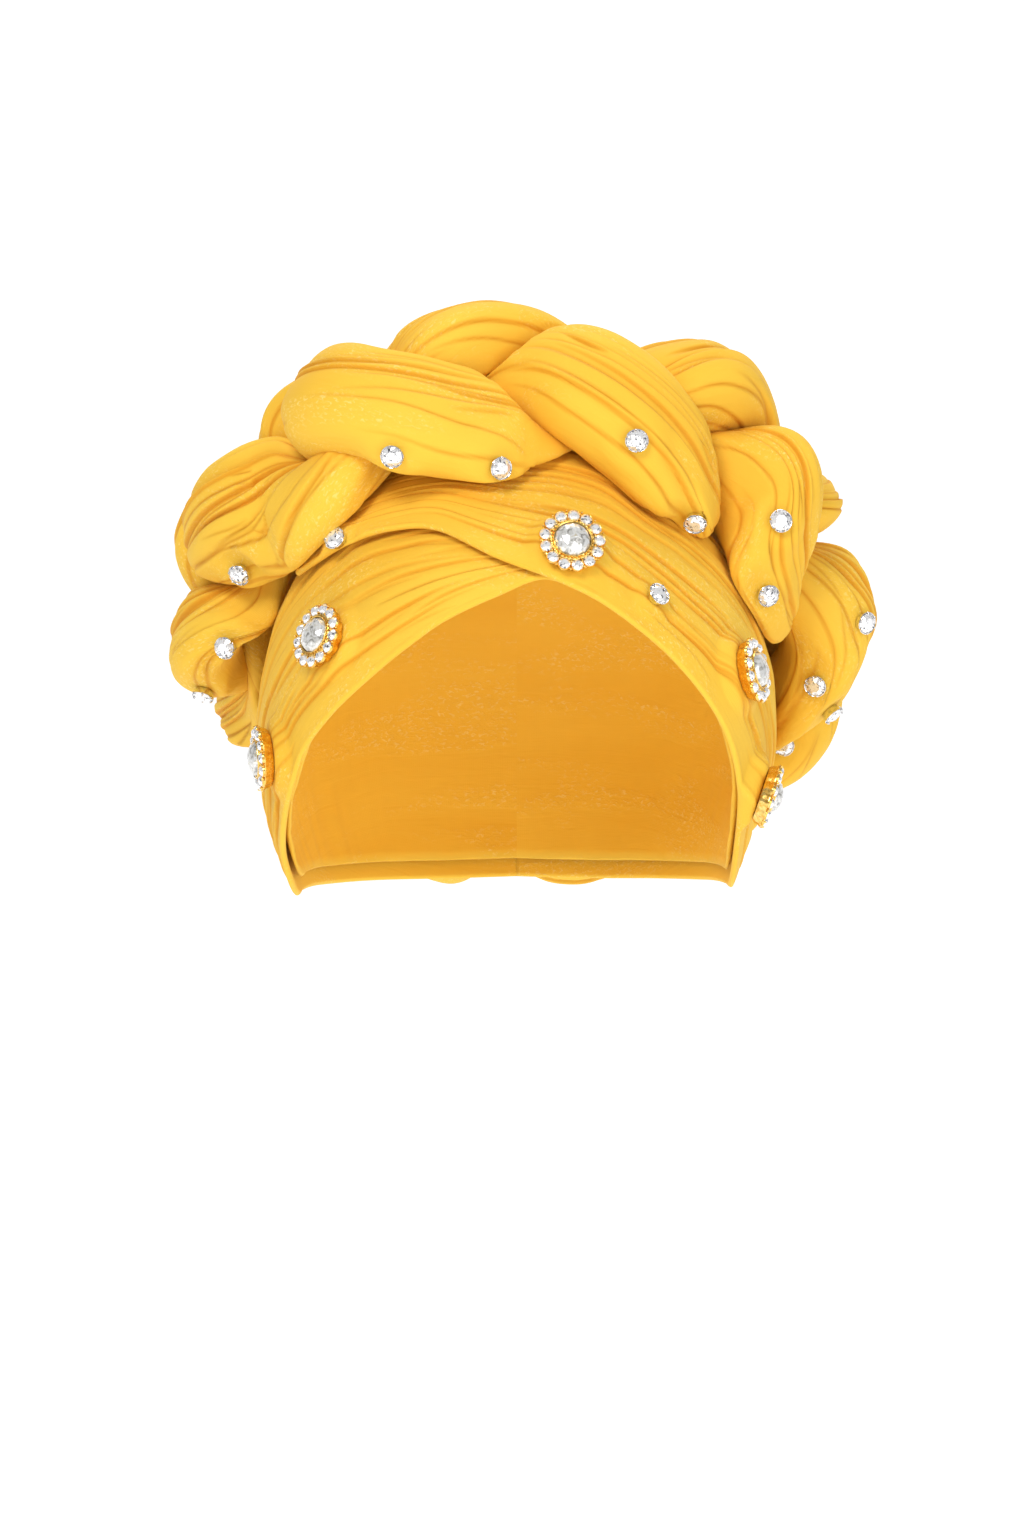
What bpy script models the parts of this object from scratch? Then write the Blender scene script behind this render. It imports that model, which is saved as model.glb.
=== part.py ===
"""Pre-tied turban: a soft cap, two pleated wraps, a plaited ring of three padded rolls, and stones."""
import bmesh
import bpy
import numpy as np
from mathutils import Matrix, Vector
from mathutils.bvhtree import BVHTree

MM = 0.001
COLLECTION, CUTTERS = "pre_tied_turban", "cutters"

# Head form inside the cap; the origin is the top of the head, the wearer faces -Y.
HEAD_CENTRE = np.array([0.0, 0.0, -85.0]) * MM
HEAD_HALF = np.array([72.5, 91.5, 85.0]) * MM
HEAD_HALF_BELOW = 92.0 * MM
HEAD_SQUARENESS = 2.35
LEFT_NARROWER = 0.05            # share by which the form narrows on the wearer's left, below its middle
NARROWING_DEPTH = 35.0 * MM     # drop over which that narrowing comes in

CAP_WALL = 1.2 * MM
CAP_SET_BACK = 2.4              # degrees the cap stops short of the wraps' edge
CAP_ROWS = 6
WRAP_WALL = 2.0 * MM
WRAP_LIFT = 4.9 * MM            # outer face of a wrap off the head, between its pleats
OVER_WRAP_LIFT = 3.6 * MM       # further height of the over wrap where it crosses the under one
ROOM_FROM, ROOM_WITHIN = -68, 10   # azimuth from which the rolls make room for it, in degrees
WRAP_STATIONS = 26
FOLD_HIGHEST = 0.5 * MM
SEAM = 0.4 * MM                 # clearance between neighbouring rolls

ROLL_SLICES = 54
ROLL_POINTS = 12
DRAW_IN_ROUNDS = 80             # rounds in which rolls that touch are drawn in
DRAW_IN_STEP, DRAW_IN_SHARE = 0.15 * MM, 0.05
GROW_STEPS, GROW_STEP = 147, 0.25 * MM   # rounds in which a drawn-in roll fills out again
GROW_TURNS = 7                  # every seventh point moves in one round

# Edges of each wrap seen from the head centre, in degrees: azimuth from the brow, elevation.
WRAP_OVER = [
    # rim_az rim_el top_az top_el
    (-56, 30.5, -61, 37),
    (-47, 32.5, -56, 44),
    (-38, 35, -47, 50),
    (-28, 36.5, -34, 54),
    (-17, 36, -18, 56),
    (-4, 30, 0, 57),
    (6, 26, 14, 57),
    (16, 21, 28, 54),
    (25, 15.5, 40, 49),
    (33, 8.5, 52, 43),
    (40, 1.5, 62, 37),
    (45.5, -5.5, 73, 29),
    (50.5, -12, 82, 21),
    (56.5, -20, 90, 12),
    (64, -28.5, 98, 4),
    (74, -34, 108, -3),
    (87, -36, 120, -8),
    (105, -35, 134, -11),
    (127, -32, 148, -12),
    (152, -29, 163, -12),
    (179.8, -28, 179.8, -12),
]
WRAP_UNDER = [
    (13, 24, 12, 32),
    (5, 27, 3, 38),
    (-4, 23.5, -7, 42),
    (-13, 19, -18, 45),
    (-20, 14, -29, 46),
    (-28, 8, -40, 46),
    (-35.5, 2.5, -51, 41),
    (-43.5, -4, -62, 35),
    (-50, -11.5, -73, 27),
    (-59.5, -20, -83, 18),
    (-70, -27.5, -92, 9),
    (-78, -33.5, -101, 2),
    (-91, -36.5, -113, -5),
    (-107, -35, -127, -9),
    (-127, -32, -143, -11),
    (-151, -29, -161, -12),
    (-179.8, -28, -179.8, -12),
]
# Pleats across a wrap: share of the way from rim to top, height of the cloth there in mm.
PLEATS = [
    (0.00, -0.4), (0.06, 0.2), (0.16, 0.5), (0.26, -0.4), (0.36, 0.5), (0.46, -0.3),
    (0.58, 0.5), (0.68, -0.4), (0.80, 0.4), (0.90, -0.3), (1.00, 0.0),
]

# Centre line of the plaited ring: angle round the head, position in mm, lean of its face in degrees.
RING = np.array([
    # angle, x, y, z, lean
    (0, 0.0, -41.5, 13.5, 71),
    (20, 24.5, -38.5, 8.5, 59),
    (45, 62.0, -18.0, -7.0, 48),
    (68, 77.5, -2.0, -31.5, 36),
    (90, 83.5, 33.5, -56.0, 20),
    (115, 78.5, 59.0, -73.5, -13),
    (145, 55.0, 92.0, -93.0, -6),
    (180, 0.0, 109.0, -100.0, -8),
    (215, -55.0, 92.0, -93.0, -6),
    (245, -78.0, 59.5, -67.5, 0),
    (270, -81.0, 22.0, -55.0, 20),
    (292, -83.5, 3.5, -31.5, 37),
    (315, -60.0, -16.0, -7.5, 53),
    (340, -35.5, -44.0, 9.0, 70),
])
# Where a roll turns at the face side of the ring: angle, size on the face side and on the crown side.
LOBES = np.array([
    # angle, face size, crown size
    (-107, 0.65, 0.71),
    (-79, 0.85, 0.80),
    (-45, 0.94, 0.91),
    (-12, 0.95, 1.00),
    (32, 0.98, 1.03),
    (62, 1.06, 1.02),
    (89, 0.88, 0.98),
    (124, 0.85, 0.80),
    (146, 0.88, 0.88),
    (171, 0.88, 0.88),
    (196, 0.88, 0.85),
    (224, 0.82, 0.80),
])
PLAIT_HALF_WIDTH, PLAIT_HALF_HEIGHT = 18.2 * MM, 9.0 * MM
ROLL_HALF_WIDTH, ROLL_HALF_HEIGHT = 17.0 * MM, 14.3 * MM
ROLL_TURN = 0.28
OUTLINE_POWER = 2.2
FULLNESS = 1.3                  # a roll spreads this much wider, until it meets something
UNDERSIDE = 1.45                # and sags this much deeper
BEND_RADIUS = 95.0 * MM         # the flat ring bends over the head by this radius

# Brooches on the wraps: azimuth, elevation, piece of cloth under it, how far its face leans forward.
BROOCHES = [
    (10.5, 32.0, "wrap_over", 0.5),
    (-38.5, 15.5, "wrap_under", 0.0),
    (49.0, 10.0, "wrap_over", -0.12),
    (-58.5, -4.5, "wrap_under", -0.12),
    (58.0, -12.5, "wrap_over", -0.3),
]
# Turned profiles, top to bottom: radius, height in mm above the cloth.
BROOCH_BODY = [(0.0, 2.6), (5.6, 2.6), (5.7, 4.3), (6.1, 3.2), (9.4, 3.2), (8.9, 1.5), (7.9, 0.0), (0.0, 0.0)]
HALO_STONES, HALO_RADIUS, HALO_STONE_RADIUS, HALO_TABLE_RADIUS = 13, 7.8, 1.6, 0.85
HALO_BASE, HALO_TOP = 2.5, 4.5
PEARL = [(0.0, 6.6), (2.9, 6.2), (5.0, 4.6), (5.2, 3.7), (4.7, 2.95), (0.0, 2.95)]
PEARL_SIDES = 10
# Single crystals: nearest point x, y, z in mm, how far they lean forward, and the cloth under them.
CRYSTALS = [
    (-35.5, -76.5, -9.0, 0.0, "braid"),
    (-7.5, -73.0, -11.5, 0.0, "braid"),
    (-52.5, -57.5, -33.0, 0.6, "wrap_over"),
    (-82.0, -26.5, -36.5, 0.4, "braid"),
    (-87.0, -18.5, -61.0, 0.15, "braid"),
    (-95.0, 1.0, -71.5, 0.0, "braid"),
    (32.0, -69.0, -3.5, 0.0, "braid"),
    (51.5, -53.0, -23.5, 0.5, "braid"),
    (74.5, -44.5, -26.5, 0.0, "braid"),
    (71.5, -39.0, -46.0, 0.0, "braid"),
    (101.0, -3.0, -52.5, 0.15, "braid"),
    (88.5, 0.5, -69.5, 0.15, "braid"),
    (93.0, 10.0, -79.0, 0.0, "braid"),
    (81.0, 40.5, -89.5, 0.0, "braid"),
    (38.0, -80.5, -48.5, 0.0, "wrap_over"),
]
CRYSTAL = [(0.0, 3.0), (1.6, 3.0), (2.8, 2.1), (0.0, 0.8)]
CUP = [(0.0, 0.5), (2.35, 0.5), (3.15, 2.2), (3.45, 2.2), (2.75, 0.0), (0.0, 0.0)]
CRYSTAL_SIDES = 8

YELLOW = (0.92, 0.51, 0.06, 1.0)
GILT = (0.80, 0.55, 0.22, 1.0)
SILVER = (0.75, 0.75, 0.76, 1.0)
WHITE = (0.93, 0.92, 0.90, 1.0)


def head_gauge(points, lift):
    """1 on the surface that stands `lift` off the head, less inside it."""
    q = np.abs(points - HEAD_CENTRE)
    half = HEAD_HALF + lift
    below = smooth_step((HEAD_CENTRE[2] - points[..., 2]) / NARROWING_DEPTH)
    width = half[0] * (1 - LEFT_NARROWER * below * (points[..., 0] > HEAD_CENTRE[0]))
    plan = ((q[..., 0] / width) ** HEAD_SQUARENESS + (q[..., 1] / half[1]) ** HEAD_SQUARENESS)
    plan = plan ** (1 / HEAD_SQUARENESS)
    above = points[..., 2] > HEAD_CENTRE[2]
    return np.sqrt(plan ** 2 + (q[..., 2] / np.where(above, half[2], HEAD_HALF_BELOW + lift)) ** 2)


def toward(azimuth, elevation):
    a, e = np.radians(azimuth), np.radians(elevation)
    return np.stack([np.sin(a) * np.cos(e), -np.cos(a) * np.cos(e), np.sin(e)], axis=-1)


def on_head(direction, lift):
    """The point in this direction from the head centre that stands `lift` off the head."""
    direction = direction / np.linalg.norm(direction, axis=-1, keepdims=True)
    point = HEAD_CENTRE + direction * HEAD_HALF[2]
    for _ in range(4):
        point = HEAD_CENTRE + (point - HEAD_CENTRE) / head_gauge(point, lift)[..., None]
    return point


def smooth_step(x):
    x = np.clip(x, 0.0, 1.0)
    return x * x * (3 - 2 * x)


def over_wrap_lift(azimuth):
    """Where the over wrap lies on the under one: 1 there, 0 beyond the brow."""
    return 1 - smooth_step((azimuth - 12) / 14)


def closed_curve(table, column, angle):
    """Smooth closed curve through one column of a table whose first column is the angle."""
    knots, values = table[:, 0], table[:, column]
    count = len(knots)
    angle = (angle - knots[0]) % 360 + knots[0]
    i = np.clip(np.searchsorted(knots, angle, side="right") - 1, 0, count - 1)
    after, before, beyond = (i + 1) % count, (i - 1) % count, (i + 2) % count
    gap = lambda a, b: (knots[b] - knots[a]) % 360
    h, hb, ha = gap(i, after), gap(before, i), gap(after, beyond)
    v0, v1 = values[i], values[after]
    s0, s1 = (v0 - values[before]) / hb, (values[beyond] - v1) / ha
    s = (v1 - v0) / h
    m0, m1 = (s0 * h + s * hb) / (h + hb), (s * ha + s1 * h) / (h + ha)
    t = (angle - knots[i]) / h
    return ((2 * t ** 3 - 3 * t ** 2 + 1) * v0 + (t ** 3 - 2 * t ** 2 + t) * h * m0
            + (3 * t ** 2 - 2 * t ** 3) * v1 + (t ** 3 - t ** 2) * h * m1)


def open_curve(rows, at):
    """Smooth curve through the rows of a table, at row numbers that need not be whole."""
    rows = np.asarray(rows, float)
    i = np.clip(np.floor(at).astype(int), 0, len(rows) - 2)
    t = (at - i)[:, None]
    p0, p1 = rows[np.maximum(i - 1, 0)], rows[i]
    p2, p3 = rows[i + 1], rows[np.minimum(i + 2, len(rows) - 1)]
    return 0.5 * (2 * p1 + (p2 - p0) * t + (2 * p0 - 5 * p1 + 4 * p2 - p3) * t ** 2
                  + (3 * p1 - p0 - 3 * p2 + p3) * t ** 3)


def ring_frame(angle):
    """Centre of the ring at this angle, and the directions along it, to the crown and outward."""
    def centre(at):
        return np.stack([closed_curve(RING, c, at) for c in (1, 2, 3)], axis=-1) * MM
    along = centre(angle + 0.5) - centre(angle - 0.5)
    along /= np.linalg.norm(along, axis=-1, keepdims=True)
    lean = np.radians(closed_curve(RING, 4, angle))[..., None]
    level = np.stack([along[..., 1], -along[..., 0], np.zeros_like(angle)], axis=-1)
    level /= np.linalg.norm(level, axis=-1, keepdims=True)
    out = level * np.cos(lean) + np.array([0.0, 0.0, 1.0]) * np.sin(lean)
    out -= along * np.sum(out * along, axis=-1, keepdims=True)
    out /= np.linalg.norm(out, axis=-1, keepdims=True)
    return centre(angle), along, np.cross(out, along), out


def plait_phase(angle):
    knots = LOBES[:, 0]
    count = len(knots)
    even = np.arange(count) * 360.0 / count - (knots - knots[0])
    shift = closed_curve(np.stack([knots, even], axis=1), 1, angle)
    return ((angle - knots[0]) + shift) / 360.0 * count * 2 * np.pi / 3


def roll_section(angle, number):
    """Where roll `number` passes the ring at this angle: offset, turn and half sizes of its outline."""
    t = plait_phase(angle) + 1.5 * np.pi - 2 * np.pi * number / 3
    crown_side = 0.5 + 0.5 * np.sin(t)
    size = closed_curve(LOBES, 1, angle) * (1 - crown_side) + closed_curve(LOBES, 2, angle) * crown_side
    across = PLAIT_HALF_WIDTH * size * np.sin(t)
    out = PLAIT_HALF_HEIGHT * size * np.sin(2 * t)
    half_width = ROLL_HALF_WIDTH * size * (1 + 0.06 * np.sin(2 * t))
    half_height = ROLL_HALF_HEIGHT * size * (1 + 0.08 * np.sin(2 * t))
    return across, out, -ROLL_TURN * np.sin(t), half_width, half_height


def section_gauge(across, out, section):
    """1 on a roll's own outline, less inside it."""
    a0, o0, turn, half_width, half_height = section
    da, do = across - a0, out - o0
    a = da * np.cos(turn) + do * np.sin(turn)
    b = do * np.cos(turn) - da * np.sin(turn)
    return (np.abs(a / half_width) ** OUTLINE_POWER + np.abs(b / half_height) ** OUTLINE_POWER) ** (
        1 / OUTLINE_POWER)


def rest_height(points):
    """Height off the head that the rolls must keep to clear the wraps below them."""
    d = points - HEAD_CENTRE
    azimuth = np.degrees(np.arctan2(d[..., 0], -d[..., 1]))
    lifted = over_wrap_lift(azimuth) * smooth_step((azimuth - ROOM_FROM) / ROOM_WITHIN)
    return WRAP_LIFT + FOLD_HIGHEST + OVER_WRAP_LIFT * lifted


def roll_surface(number, slices, points, gap=SEAM, softness=14):
    """Grid of points on one roll: its own outline, pressed flat by the other two and by the head."""
    angle = (np.arange(slices) * 360.0 / slices)[:, None]
    beta = (np.arange(points) / points * 2 * np.pi)[None, :]
    centre, _, crown, outward = ring_frame(angle)
    own = roll_section(angle, number)
    others = [roll_section(angle, n) for n in range(3) if n != number]
    a0, o0, turn, half_width, half_height = own
    depth = np.where(np.sin(beta) < 0, half_height * UNDERSIDE, half_height)
    free = (np.abs(np.cos(beta) / (half_width * FULLNESS)) ** OUTLINE_POWER
            + np.abs(np.sin(beta) / depth) ** OUTLINE_POWER) ** (-1 / OUTLINE_POWER)
    da = np.cos(beta) * np.cos(turn) - np.sin(beta) * np.sin(turn)
    do = np.cos(beta) * np.sin(turn) + np.sin(beta) * np.cos(turn)

    def place(reach):
        across, out = a0 + reach * da, o0 + reach * do
        bent = out - across ** 2 / (2 * BEND_RADIUS)
        return across, out, centre + across[..., None] * crown + bent[..., None] * outward

    def blocked(reach):
        across, out, spot = place(reach)
        inside_own = (section_gauge(across, out, own) - 1) * half_height
        worst = np.full(reach.shape, -1.0)
        for other in others:
            on_top = 0.15 + 0.70 * smooth_step((o0 - other[1]) / (2.4 * PLAIT_HALF_HEIGHT) + 0.5)
            outside_other = (section_gauge(across, out, other) - 1) * other[4]
            worst = np.maximum(worst, on_top * inside_own - (1 - on_top) * outside_other + gap / 2)
        rest = rest_height(spot)
        return (worst > 0) | (head_gauge(spot, 0.0) < 1 + (rest + gap) / 82e-3)

    low, high = np.zeros(free.shape), free.copy()
    clear = ~blocked(free)
    for _ in range(14):
        middle = (low + high) / 2
        hit = blocked(middle)
        high, low = np.where(hit, middle, high), np.where(hit, low, middle)
    pressed = np.maximum(np.where(clear, free * 1.3, low), 0.6 * MM)
    reach = (free ** -softness + pressed ** -softness) ** (-1 / softness)
    return place(reach)[2], place(np.zeros(free.shape))[2][:, :1]


def closed_grid(points):
    """Faces of a grid that joins up both ways."""
    rows, columns = points.shape[:2]
    index = np.arange(rows * columns).reshape(rows, columns)
    ahead, beside = np.roll(index, -1, axis=0), np.roll(index, -1, axis=1)
    corner = np.roll(ahead, -1, axis=1)
    return np.stack([index, ahead, corner, beside], axis=-1).reshape(-1, 4).tolist()


def material(name, colour, metal=0.0, rough=0.8):
    finish = bpy.data.materials.new(name)
    finish.use_nodes = True
    shader = finish.node_tree.nodes["Principled BSDF"]
    shader.inputs["Base Color"].default_value = colour
    shader.inputs["Metallic"].default_value = metal
    shader.inputs["Roughness"].default_value = rough
    return finish


def loft(name, points, faces):
    """Mesh lofted through sections, with outward normals."""
    mesh = bpy.data.meshes.new(name)
    bm = bmesh.new()
    corners = [bm.verts.new(p) for p in np.asarray(points).reshape(-1, 3).tolist()]
    for face in faces:
        bm.faces.new([corners[i] for i in face])
    bmesh.ops.recalc_face_normals(bm, faces=bm.faces[:])
    bm.to_mesh(mesh)
    bm.free()
    mesh.shade_smooth()
    return mesh


def profile(name, rows):
    """Outline of a turned piece, in the XZ plane."""
    mesh = bpy.data.meshes.new(name)
    mesh.from_pydata([(r * MM, 0, z * MM) for r, z in rows], [(i, i + 1) for i in range(len(rows) - 1)], [])
    return mesh


def add(name, mesh, finish, parent=None, collection=COLLECTION):
    piece = bpy.data.objects.new(name, mesh)
    bpy.data.collections[collection].objects.link(piece)
    if not mesh.materials:
        mesh.materials.append(finish)
    piece.parent = parent
    return piece


def turn(piece, sides, smooth):
    spin = piece.modifiers.new("turned", "SCREW")
    spin.steps = spin.render_steps = sides
    spin.use_merge_vertices = True
    spin.merge_threshold = 0.00001
    spin.use_smooth_shade = smooth


def thicken(piece, wall):
    shell = piece.modifiers.new("wall", "SOLIDIFY")
    shell.thickness = wall
    shell.offset = -1


def shape_of(piece):
    """Points and triangles of an object with its modifiers."""
    seen = piece.evaluated_get(bpy.context.evaluated_depsgraph_get()).to_mesh()
    seen.calc_loop_triangles()
    points = np.array([v.co for v in seen.vertices])
    faces = [tuple(f.vertices) for f in seen.loop_triangles]
    return points, faces


def normals(points, faces):
    faces = np.asarray(faces)
    a, b, c = points[faces[:, 0]], points[faces[:, 1]], points[faces[:, 2]]
    face = np.cross(b - a, c - a)
    out = np.zeros_like(points)
    for corner in range(3):
        np.add.at(out, faces[:, corner], face)
    return out / np.maximum(np.linalg.norm(out, axis=1, keepdims=True), 1e-12)


def tree(points, faces):
    return BVHTree.FromPolygons([Vector(p) for p in points.tolist()], faces, epsilon=0.0)


def clashes(shapes, grounds):
    """Per roll, the points of facets that come nearer than the seam to another piece."""
    hits = [set() for _ in shapes]
    trees = [tree(points + normals(points, faces) * 0.45 * SEAM, faces) for points, faces in shapes]
    for i, (points, faces) in enumerate(shapes):
        for j in range(i + 1, len(shapes)):
            for f, g in trees[i].overlap(trees[j]):
                hits[i].update(faces[f])
                hits[j].update(shapes[j][1][g])
        grown = tree(points + normals(points, faces) * 0.9 * SEAM, faces)
        for ground in grounds:
            for f, _ in grown.overlap(ground):
                hits[i].update(faces[f])
    return [sorted(touched) for touched in hits]


def make_rolls(grounds):
    """The three rolls, drawn in only where their flat facets would come too near another piece."""
    rolls, shapes, cores = [], [], []
    for number in range(3):
        points, core = roll_surface(number, ROLL_SLICES, ROLL_POINTS)
        name = "braid_strand_%d" % (number + 1)
        roll = add(name, loft(name, points, closed_grid(points)), material(name, YELLOW))
        edit = bmesh.new()
        edit.from_mesh(roll.data)
        bmesh.ops.triangulate(edit, faces=edit.faces[:], quad_method="SHORT_EDGE")
        edit.to_mesh(roll.data)
        edit.free()
        rolls.append(roll)
        shapes.append(list(shape_of(roll)))
        cores.append(np.repeat(core, ROLL_POINTS, axis=1).reshape(-1, 3))
    wanted = [points.copy() for points, _ in shapes]
    for _ in range(DRAW_IN_ROUNDS):
        hits = clashes(shapes, grounds)
        if not any(hits):
            break
        for shape, core, touched in zip(shapes, cores, hits):
            pull = core[touched] - shape[0][touched]
            length = np.linalg.norm(pull, axis=1, keepdims=True)
            step = np.minimum(DRAW_IN_STEP, DRAW_IN_SHARE * length)
            shape[0][touched] += pull / np.maximum(length, 1e-9) * step
    for step in range(GROW_STEPS):
        before = [points.copy() for points, _ in shapes]
        for shape, goal in zip(shapes, wanted):
            picked = np.arange(len(goal)) % GROW_TURNS == step % GROW_TURNS
            back = goal[picked] - shape[0][picked]
            length = np.maximum(np.linalg.norm(back, axis=1, keepdims=True), 1e-9)
            shape[0][picked] += back * np.minimum(1, GROW_STEP / length)
        for shape, old, touched in zip(shapes, before, clashes(shapes, grounds)):
            shape[0][touched] = old[touched]
    for roll, (points, _) in zip(rolls, shapes):
        roll.data.vertices.foreach_set("co", points.ravel())
        roll.data.update()
    return shapes


def make_wrap(name, table, over):
    """Pleated strip between its rim and top edges."""
    at = np.linspace(0, len(table) - 1, WRAP_STATIONS)
    rim_az, rim_el, top_az, top_el = open_curve(table, at).T
    rim, top = toward(rim_az, rim_el), toward(top_az, top_el)
    lift = OVER_WRAP_LIFT * over_wrap_lift(rim_az) if over else np.zeros(len(at))
    points = []
    for i in range(len(at)):
        for share, height in PLEATS:
            direction = rim[i] * (1 - share) + top[i] * share
            points.append(on_head(direction, WRAP_LIFT + lift[i] + height * MM))
    rows, columns = len(at), len(PLEATS)
    faces = [[i * columns + j, (i + 1) * columns + j, (i + 1) * columns + j + 1, i * columns + j + 1]
             for i in range(rows - 1) for j in range(columns - 1)]
    if not over:
        faces = [face[::-1] for face in faces]
    wrap = add(name, open_surface(name, points, faces), material(name, YELLOW))
    thicken(wrap, WRAP_WALL)
    return wrap


def open_surface(name, points, faces):
    mesh = bpy.data.meshes.new(name)
    mesh.from_pydata([p.tolist() for p in points], [], faces)
    mesh.shade_smooth()
    return mesh


def make_cap():
    """Dome of cloth under the wraps, its edge just inside theirs all the way round."""
    edge = [(az, el) for az, el, _, _ in WRAP_OVER[6:-1]] + [(180, -28)]
    edge += [(az, el) for az, el, _, _ in WRAP_UNDER[-2:1:-1]]
    columns = len(edge)
    points, faces = [], []
    for row in range(CAP_ROWS):
        for azimuth, elevation in edge:
            low = elevation + CAP_SET_BACK
            points.append(on_head(toward(azimuth, low + (90 - low) * row / CAP_ROWS), CAP_WALL))
    points.append(on_head(np.array([0.0, 0.0, 1.0]), CAP_WALL))
    for row in range(CAP_ROWS):
        for i in range(columns):
            a, b = row * columns + i, row * columns + (i + 1) % columns
            faces.append([a, b, b + columns, a + columns] if row < CAP_ROWS - 1 else [a, b, len(points) - 1])
    cap = add("cap", open_surface("cap", points, faces), material("cap", YELLOW))
    thicken(cap, CAP_WALL)
    return cap


def halo_mesh():
    """Ring of small cut stones, each an eight-sided frustum with a flat table."""
    mesh = bpy.data.meshes.new("halo")
    bm = bmesh.new()
    for k in range(HALO_STONES):
        angle = 2 * np.pi * k / HALO_STONES
        spot = Matrix.Rotation(angle, 4, "Z") @ Matrix.Translation(
            (HALO_RADIUS * MM, 0, (HALO_BASE + HALO_TOP) / 2 * MM)) @ Matrix.Rotation(np.pi / 8, 4, "Z")
        bmesh.ops.create_cone(bm, cap_ends=True, segments=8, radius1=HALO_STONE_RADIUS * MM,
                              radius2=HALO_TABLE_RADIUS * MM, depth=(HALO_TOP - HALO_BASE) * MM, matrix=spot)
    bm.to_mesh(mesh)
    bm.free()
    return mesh


def seat(name, cloth, near, reach, forward=0.0):
    """Empty standing on the cloth nearest to a point, clear of the pleats."""
    spot, normal, _, _ = cloth.find_nearest(Vector(near.tolist()))
    up = normal.copy()
    for _, near, _, _ in cloth.find_nearest_range(spot, 5.0 * MM):
        if near.dot(normal) > 0.5:
            up += near
    up = (up.normalized() + Vector((0, -forward, 0))).normalized()
    facing = up.to_track_quat("Z", "Y").to_matrix()
    ring = [facing @ Vector((np.cos(a) * r, np.sin(a) * r, 0)) * reach * MM
            for r in (0.35, 0.7, 1.0) for a in np.arange(12) * np.pi / 6] + [Vector((0, 0, 0))]
    lift = 0.0
    while min(gap_above(cloth, spot + up * lift + r, up) for r in ring) < 0.35 * MM:
        lift += 0.05 * MM
    empty = bpy.data.objects.new(name, None)
    bpy.data.collections[COLLECTION].objects.link(empty)
    empty.matrix_world = Matrix.Translation(spot + up * lift) @ facing.to_4x4()
    return empty


def gap_above(cloth, probe, up):
    """Height of a point above the cloth, negative when the point is under it."""
    hit, _, _, distance = cloth.ray_cast(probe + up * 0.02, -up)
    return 0.02 if hit is None else distance - 0.02


def main():
    for thing in list(bpy.data.objects):
        bpy.data.objects.remove(thing, do_unlink=True)
    for name in (COLLECTION, CUTTERS):
        bpy.context.scene.collection.children.link(bpy.data.collections.new(name))

    cap = make_cap()
    wrap_over = make_wrap("wrap_over", WRAP_OVER, True)
    wrap_under = make_wrap("wrap_under", WRAP_UNDER, False)
    cloths = {piece.name: tree(*shape_of(piece)) for piece in (cap, wrap_over, wrap_under)}
    joined, faces = [], []
    for points, own_faces in make_rolls(list(cloths.values())):
        faces += [tuple(i + len(joined) for i in face) for face in own_faces]
        joined += points.tolist()
    cloths["braid"] = tree(np.array(joined), faces)

    gilt, pearl_white = material("gilt", GILT, 1.0, 0.25), material("pearl", WHITE, 0.0, 0.15)
    body, pearl, halo = profile("brooch_body", BROOCH_BODY), profile("pearl", PEARL), halo_mesh()
    for number, (azimuth, elevation, under, forward) in enumerate(BROOCHES, 1):
        name = "brooch_%d" % number
        near = on_head(toward(azimuth, elevation), 3 * WRAP_LIFT)
        empty = seat(name, cloths[under], near, BROOCH_BODY[-2][0], forward)
        setting = add(name + "_setting", body, gilt, empty)
        turn(setting, HALO_STONES, False)
        stones = add(name + "_halo", halo, gilt, empty, CUTTERS)
        stones.hide_render, stones.display_type = True, "WIRE"
        join = setting.modifiers.new("stones", "BOOLEAN")
        join.operation, join.object = "UNION", stones
        turn(add(name + "_pearl", pearl, pearl_white, empty), PEARL_SIDES, True)

    silver, clear = material("crystal_cup", SILVER, 1.0, 0.2), material("crystal", WHITE, 0.0, 0.05)
    cup, stone = profile("cup", CUP), profile("crystal", CRYSTAL)
    for number, (x, y, z, lean, under) in enumerate(CRYSTALS, 1):
        name = "crystal_%d" % number
        empty = seat(name + "_place", cloths[under], np.array([x, y, z]) * MM, CUP[-2][0], lean)
        turn(add(name + "_cup", cup, silver, empty), CRYSTAL_SIDES, False)
        turn(add(name, stone, clear, empty), CRYSTAL_SIDES, False)


main()
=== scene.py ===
"""Looks of the pre-tied turban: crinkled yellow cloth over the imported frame, brooches, crystals, studio."""

import bmesh
import bpy
import numpy as np
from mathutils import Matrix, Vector
from mathutils.bvhtree import BVHTree


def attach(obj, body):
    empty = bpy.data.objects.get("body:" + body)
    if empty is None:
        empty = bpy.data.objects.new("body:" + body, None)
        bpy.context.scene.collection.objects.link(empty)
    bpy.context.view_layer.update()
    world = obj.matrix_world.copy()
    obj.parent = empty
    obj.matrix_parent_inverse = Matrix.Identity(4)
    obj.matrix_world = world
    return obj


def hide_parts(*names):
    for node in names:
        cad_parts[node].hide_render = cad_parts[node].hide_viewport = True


MM = 0.001
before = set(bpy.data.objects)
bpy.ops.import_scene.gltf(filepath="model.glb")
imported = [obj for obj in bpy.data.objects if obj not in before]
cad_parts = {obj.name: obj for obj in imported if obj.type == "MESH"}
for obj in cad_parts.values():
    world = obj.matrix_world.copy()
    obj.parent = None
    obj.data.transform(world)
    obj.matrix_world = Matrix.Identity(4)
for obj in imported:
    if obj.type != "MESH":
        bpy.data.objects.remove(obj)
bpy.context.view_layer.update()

# Form of the head, the wraps and the plait, in the same values as the solids
HEAD_CENTRE = np.array([0.0, 0.0, -85.0]) * MM
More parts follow.
